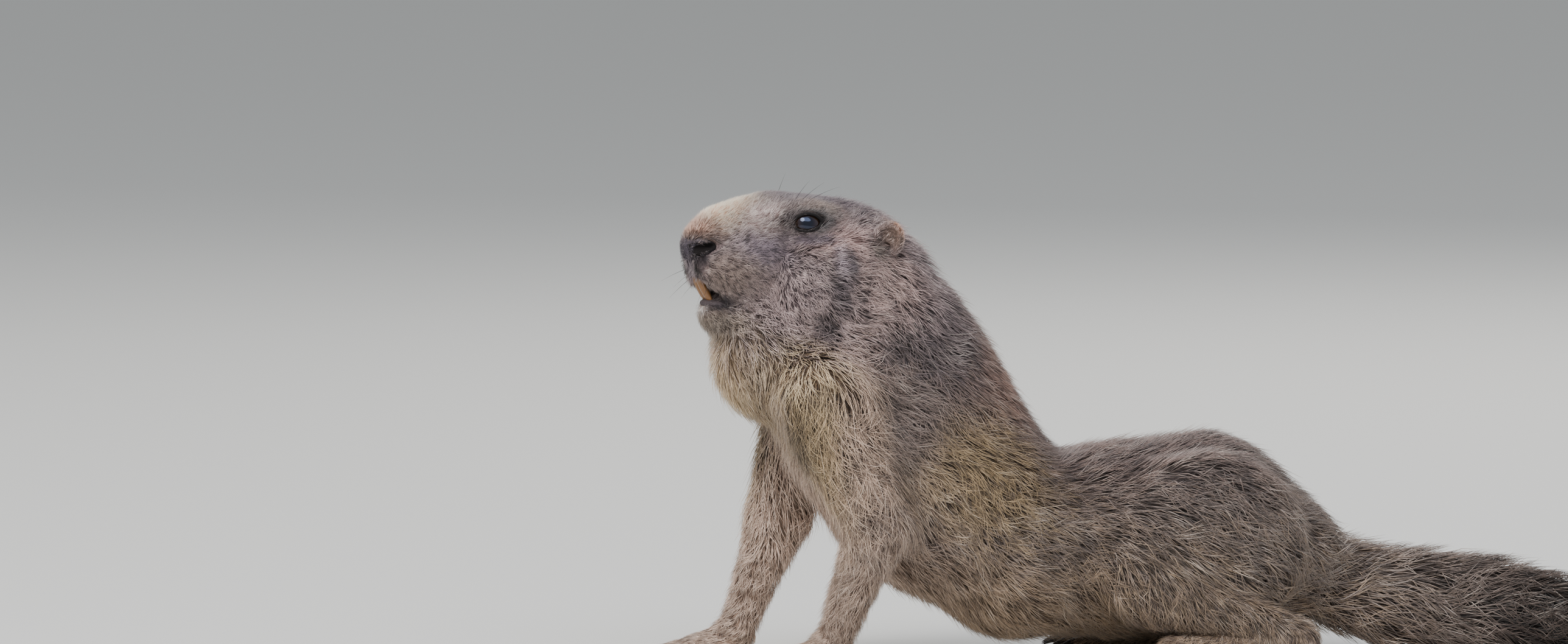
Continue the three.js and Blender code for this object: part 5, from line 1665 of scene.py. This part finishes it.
def tuft_mesh(places, ups, width, along, shape):
    """Closed three-sided tufts from their stations, as points, triangles and how far along each point is."""
    count, stations = places.shape[:2]
    rings = stations - 1
    ways = unit(np.gradient(places, axis=1).reshape(-1, 3)).reshape(places.shape)
    across = unit(np.cross(ups, ways).reshape(-1, 3)).reshape(places.shape)
    half = (width[:, None] * shape / 2)[..., None]
    base = places[:, :-1]
    right = base + across[:, :-1] * half
    crest = base + ups[:, :-1] * half * TUFT_CREST
    left = base - across[:, :-1] * half
    ring = np.stack([right, crest, left], 2).reshape(count, rings * 3, 3)
    points = np.concatenate([ring, places[:, -1:]], 1)
    tip = rings * 3
    faces = [[2, 1, 0]]
    for r in range(rings):
        for k in range(3):
            a, b = 3 * r + k, 3 * r + (k + 1) % 3
            if r == rings - 1:
                faces.append([a, b, tip])
            else:
                faces += [[a, b, b + 3], [a, b + 3, a + 3]]
    triangles = np.array(faces)[None] + (np.arange(count) * (tip + 1))[:, None, None]
    ts = np.append(np.repeat(along[:-1], 3), along[-1])
    return points, triangles, ts


def box_unwrap(roots, normals):
    """Places on an unwrap: each root on the side of a box that it faces, six sides on one sheet."""
    low, high = roots.min(0), roots.max(0)
    q = (roots - low) / np.maximum(high - low, 1e-6)
    axis = np.abs(normals).argmax(1)
    sign = np.take_along_axis(normals, axis[:, None], 1)[:, 0] > 0
    first, second = np.array([1, 0, 0])[axis], np.array([2, 2, 1])[axis]
    rows = np.arange(len(roots))
    margin = 0.01
    u = (axis + margin + (1 - 2 * margin) * q[rows, first]) / 3
    v = (sign + margin + (1 - 2 * margin) * q[rows, second]) / 2
    return np.stack([u, v], 1) * (1 - PATCH)


def coat_piece(name, roots, depth, lie, slot, each, spread, field=body):
    """One named piece of coat: its tufts in three kinds by their depth, clumped so many to each."""
    kind = (depth >= SPIKE_HAIR) * 1 + ((depth >= SHORT_HAIR) & (roots[:, 0] < REAR_FROM)) * 1
    coarse = coarseness(roots, depth)
    length, width = hair_length(depth, coarse), hair_width(depth, coarse)
    offset, parts = 0, []
    for number, (stations, shape) in enumerate(TUFTS):
        chosen = kind == number
        count = chosen.sum()
        if count < FEWEST_TUFTS:
            continue
        places, ups, guard, shared = grow(
            roots[chosen], depth[chosen], lie[chosen], length[chosen], stations, each, spread, field
        )
        wide = width[chosen] * varied(count) * np.where(guard, GUARD["narrower"], 1)
        points, triangles, ts = tuft_mesh(places, ups, wide, stations, shape)
        strand = (0.3 * rng.random(count) + 0.7 * shared).argsort().argsort() / count
        strand = np.where(guard, 0.6 + 0.4 * strand, strand)
        across_patch = np.append(np.tile([1.0, 0.5, 0.0], len(stations) - 1), 0.5)
        patch = PATCH * np.stack([across_patch, ts], 1)
        uv = box_unwrap(roots[chosen], ups[:, 0])[:, None] + patch[None]
        parts.append((
            points.reshape(-1, 3), triangles.reshape(-1, 3) + offset, np.tile(ts, count),
            np.repeat(strand, len(ts)), uv.reshape(-1, 2),
        ))
        offset += count * len(ts)
    points, triangles, along, strand, uv = (np.concatenate(column) for column in zip(*parts))
    obj = triangle_piece(name, points, triangles, coat_material)
    set_values(obj.data, along=along, strand=strand)
    layer = obj.data.uv_layers.new(name="OFBake")
    layer.data.foreach_set("uv", uv[triangles.ravel()].astype(np.float32).ravel())
    finished(obj, name, slot)


def fanned(roots, lie):
    """The lie of the hair, parted to both sides from the point of the shoulder."""
    middle, sizes = FAN
    turn = FAN_SHARE * near_oval(roots, middle, sizes) * np.clip((roots[:, 0] - middle[0]) / FAN_REACH, -1, 1)
    return unit(lie + turn[:, None] * [1, 0, 0])


def in_forelegs(roots):
    inside = np.zeros(len(roots), bool)
    for name in SIDES:
        for form in foreleg_forms[name] + hand_forms[name]:
            inside |= form.distance(roots, 0) < -form.coat * LIMB_PART["depth"]
    x, y, z = roots.T
    return inside & (x < LIMB_PART["before"]) & (np.abs(y) > LIMB_PART["beside"]) & (z < LIMB_PART["below"])


def build_coat():
    """The coat over the whole skin, in a left and a right piece for each region."""
    roots = sample_roots(skin_points, skin_triangles)
    depth, lie = coat_at(roots)
    keep = ~bare_places(roots, depth)
    roots, depth, lie = roots[keep], depth[keep], lie[keep]
    lie = fanned(roots, lie)
    q = in_head(roots)
    x, y, z = roots.T
    left = y < 0
    along, up = NECK_END["way"]
    neck = (along * (x - NECK_END["x"]) + up * (z - NECK_END["z"])) > 0
    tail = x > TAIL_FROM
    limb = in_forelegs(roots)
    head = (q[:, 0] < HEAD_PART["before"]) & (q[:, 2] > HEAD_PART["above"])
    head &= (depth < HEAD_PART["depth"]) & ~limb
    foot = (depth < FOOT_PART["depth"]) & (x > FOOT_PART["from"]) & (z < FOOT_PART["below"])
    regions = [
        # name, where, slot, hairs to a clump, how loosely they lie
        ("face", head & (q[:, 0] < HEAD_PART["face_before"]), "head_fur", 6, 0.26),
        ("cheek", head, "head_fur", 6, 0.3),
        ("foreleg", limb, "arm_fur", 12, 0.24),
        ("hindfoot", foot, "paw_fur", 10, 0.16),
        ("neck", neck, "neck_fur", 10, 0.24),
        ("chest", x < CHEST_TO, "torso_fur", 10, 0.24),
        ("loin", x < LOIN_TO, "torso_fur", 12, 0.2),
        ("rump", ~tail, "thigh_fur", 12, 0.18),
    ]
    coat_piece("coat_tail", roots[tail], depth[tail], lie[tail], "tail_fur", 16, 0.16)
    free = ~tail
    for name, region, slot, each, spread in regions:
        chosen = free & region
        free &= ~region
        for word, half in (("left", left), ("right", ~left)):
            part = chosen & half
            coat_piece(f"coat_{name}_{word}", roots[part], depth[part], lie[part], slot, each, spread)


# Small coats: the fringe over the teeth, the down on the nose and the ears' short hair
FRINGE = {"count": 700, "half_wide": 11, "high": (188.5, 191.5), "parting": 0.8, "depth": 1.6, "sunk": 1.2}
FRINGE_FROM, FRINGE_TO, FRINGE_STEPS = -5.0, 17.0, 80  # search for the muzzle's front, in the head's frame
LIP_GUIDE = ([22, 0, 190], [17.6, 13.4, 16])
NOSE_DOWN = {"density": 7, "depth": 0.4, "raised": 0.6, "in_body": -1.4, "middle": 200.5}
NOSTRIL_GAP = 0.05
EAR_HAIR = {"density": 4, "depth": 2.2, "raised": 1.2, "in_body": -2.5, "cup": 5.6, "share_in_cup": 0.25}


def raised(field, height):
    return lambda points: field(points) - height


def lip_guide(points):
    """The front of the muzzle carried on down over the teeth."""
    return face_oval(in_head(points), LIP_GUIDE)


def build_lip_fringe():
    """Hair that hangs from the edge of the upper lip over the tops of the teeth."""
    count = int(FRINGE["count"] * HAIR_SHARE)
    across = rng.uniform(-FRINGE["half_wide"], FRINGE["half_wide"], count)
    high = rng.uniform(*FRINGE["high"], count)
    start = head_point(np.stack([np.full(count, FRINGE_FROM), across, high], 1))
    along = start[:, None] + HEAD_BACK * np.linspace(0, FRINGE_TO - FRINGE_FROM, FRINGE_STEPS)[:, None]
    inside = (lip_guide(along.reshape(-1, 3)) < -FRINGE["sunk"]).reshape(count, -1)
    roots = along[np.arange(count), inside.argmax(1)]
    keep = np.abs(across) > FRINGE["parting"]
    roots, across = roots[keep], across[keep]
    count = len(roots)
    lie = head_way(unit(np.stack([np.full(count, 0.1), 0.05 * across, np.full(count, -1.0)], 1)))
    coat_piece("coat_lip", roots, np.full(count, FRINGE["depth"]), lie, "head_fur", 7, 0.2, lip_guide)


def build_nose_coat():
    """Down over the nose pad all round the nostrils."""
    roots = spread_over(*nose_net, NOSE_DOWN["density"])
    roots = roots[(nostrils(roots) > NOSTRIL_GAP) & (body(roots) > NOSE_DOWN["in_body"])]
    q = in_head(roots)
    upward = np.clip(0.25 * (q[:, 2] - NOSE_DOWN["middle"]), -1.2, 1.2)
    lie = head_way(unit(np.stack([np.full(len(q), 0.5), 0.5 * np.sign(q[:, 1]), upward], 1)))
    depth = np.full(len(roots), NOSE_DOWN["depth"])
    coat_piece("coat_nose", roots, depth, lie, "head_fur", 6, 0.3, raised(nose_field, NOSE_DOWN["raised"]))


def build_ear_coat(word, net, field):
    """Short hair over the ear, thin inside its cup."""
    side = SIDES[word]
    axes, middle = ear_axes(side), ear_middle(side)
    roots = spread_over(*net, EAR_HAIR["density"])
    slope = slope_of(field, roots)[1]
    q = (roots - middle) @ axes.T
    inside = (unit(slope) @ axes[1] > -0.2) & (np.hypot(q[:, 0], q[:, 2] + 1) < EAR_HAIR["cup"])
    keep = ~inside | (rng.random(len(roots)) < EAR_HAIR["share_in_cup"])
    roots = roots[keep & (body(roots) > EAR_HAIR["in_body"])]
    depth = np.full(len(roots), EAR_HAIR["depth"])
    lie = unit(0.9 * axes[2] + 1.2 * HEAD_BACK + 0.15 * unit(roots - middle))
    coat_piece("coat_ear_" + word, roots, depth, lie, "ear_skin", 8, 0.22, raised(field, EAR_HAIR["raised"]))


build_coat()
build_lip_fringe()
build_nose_coat()
for word, (net, field) in ears.items():
    build_ear_coat(word, net, field)
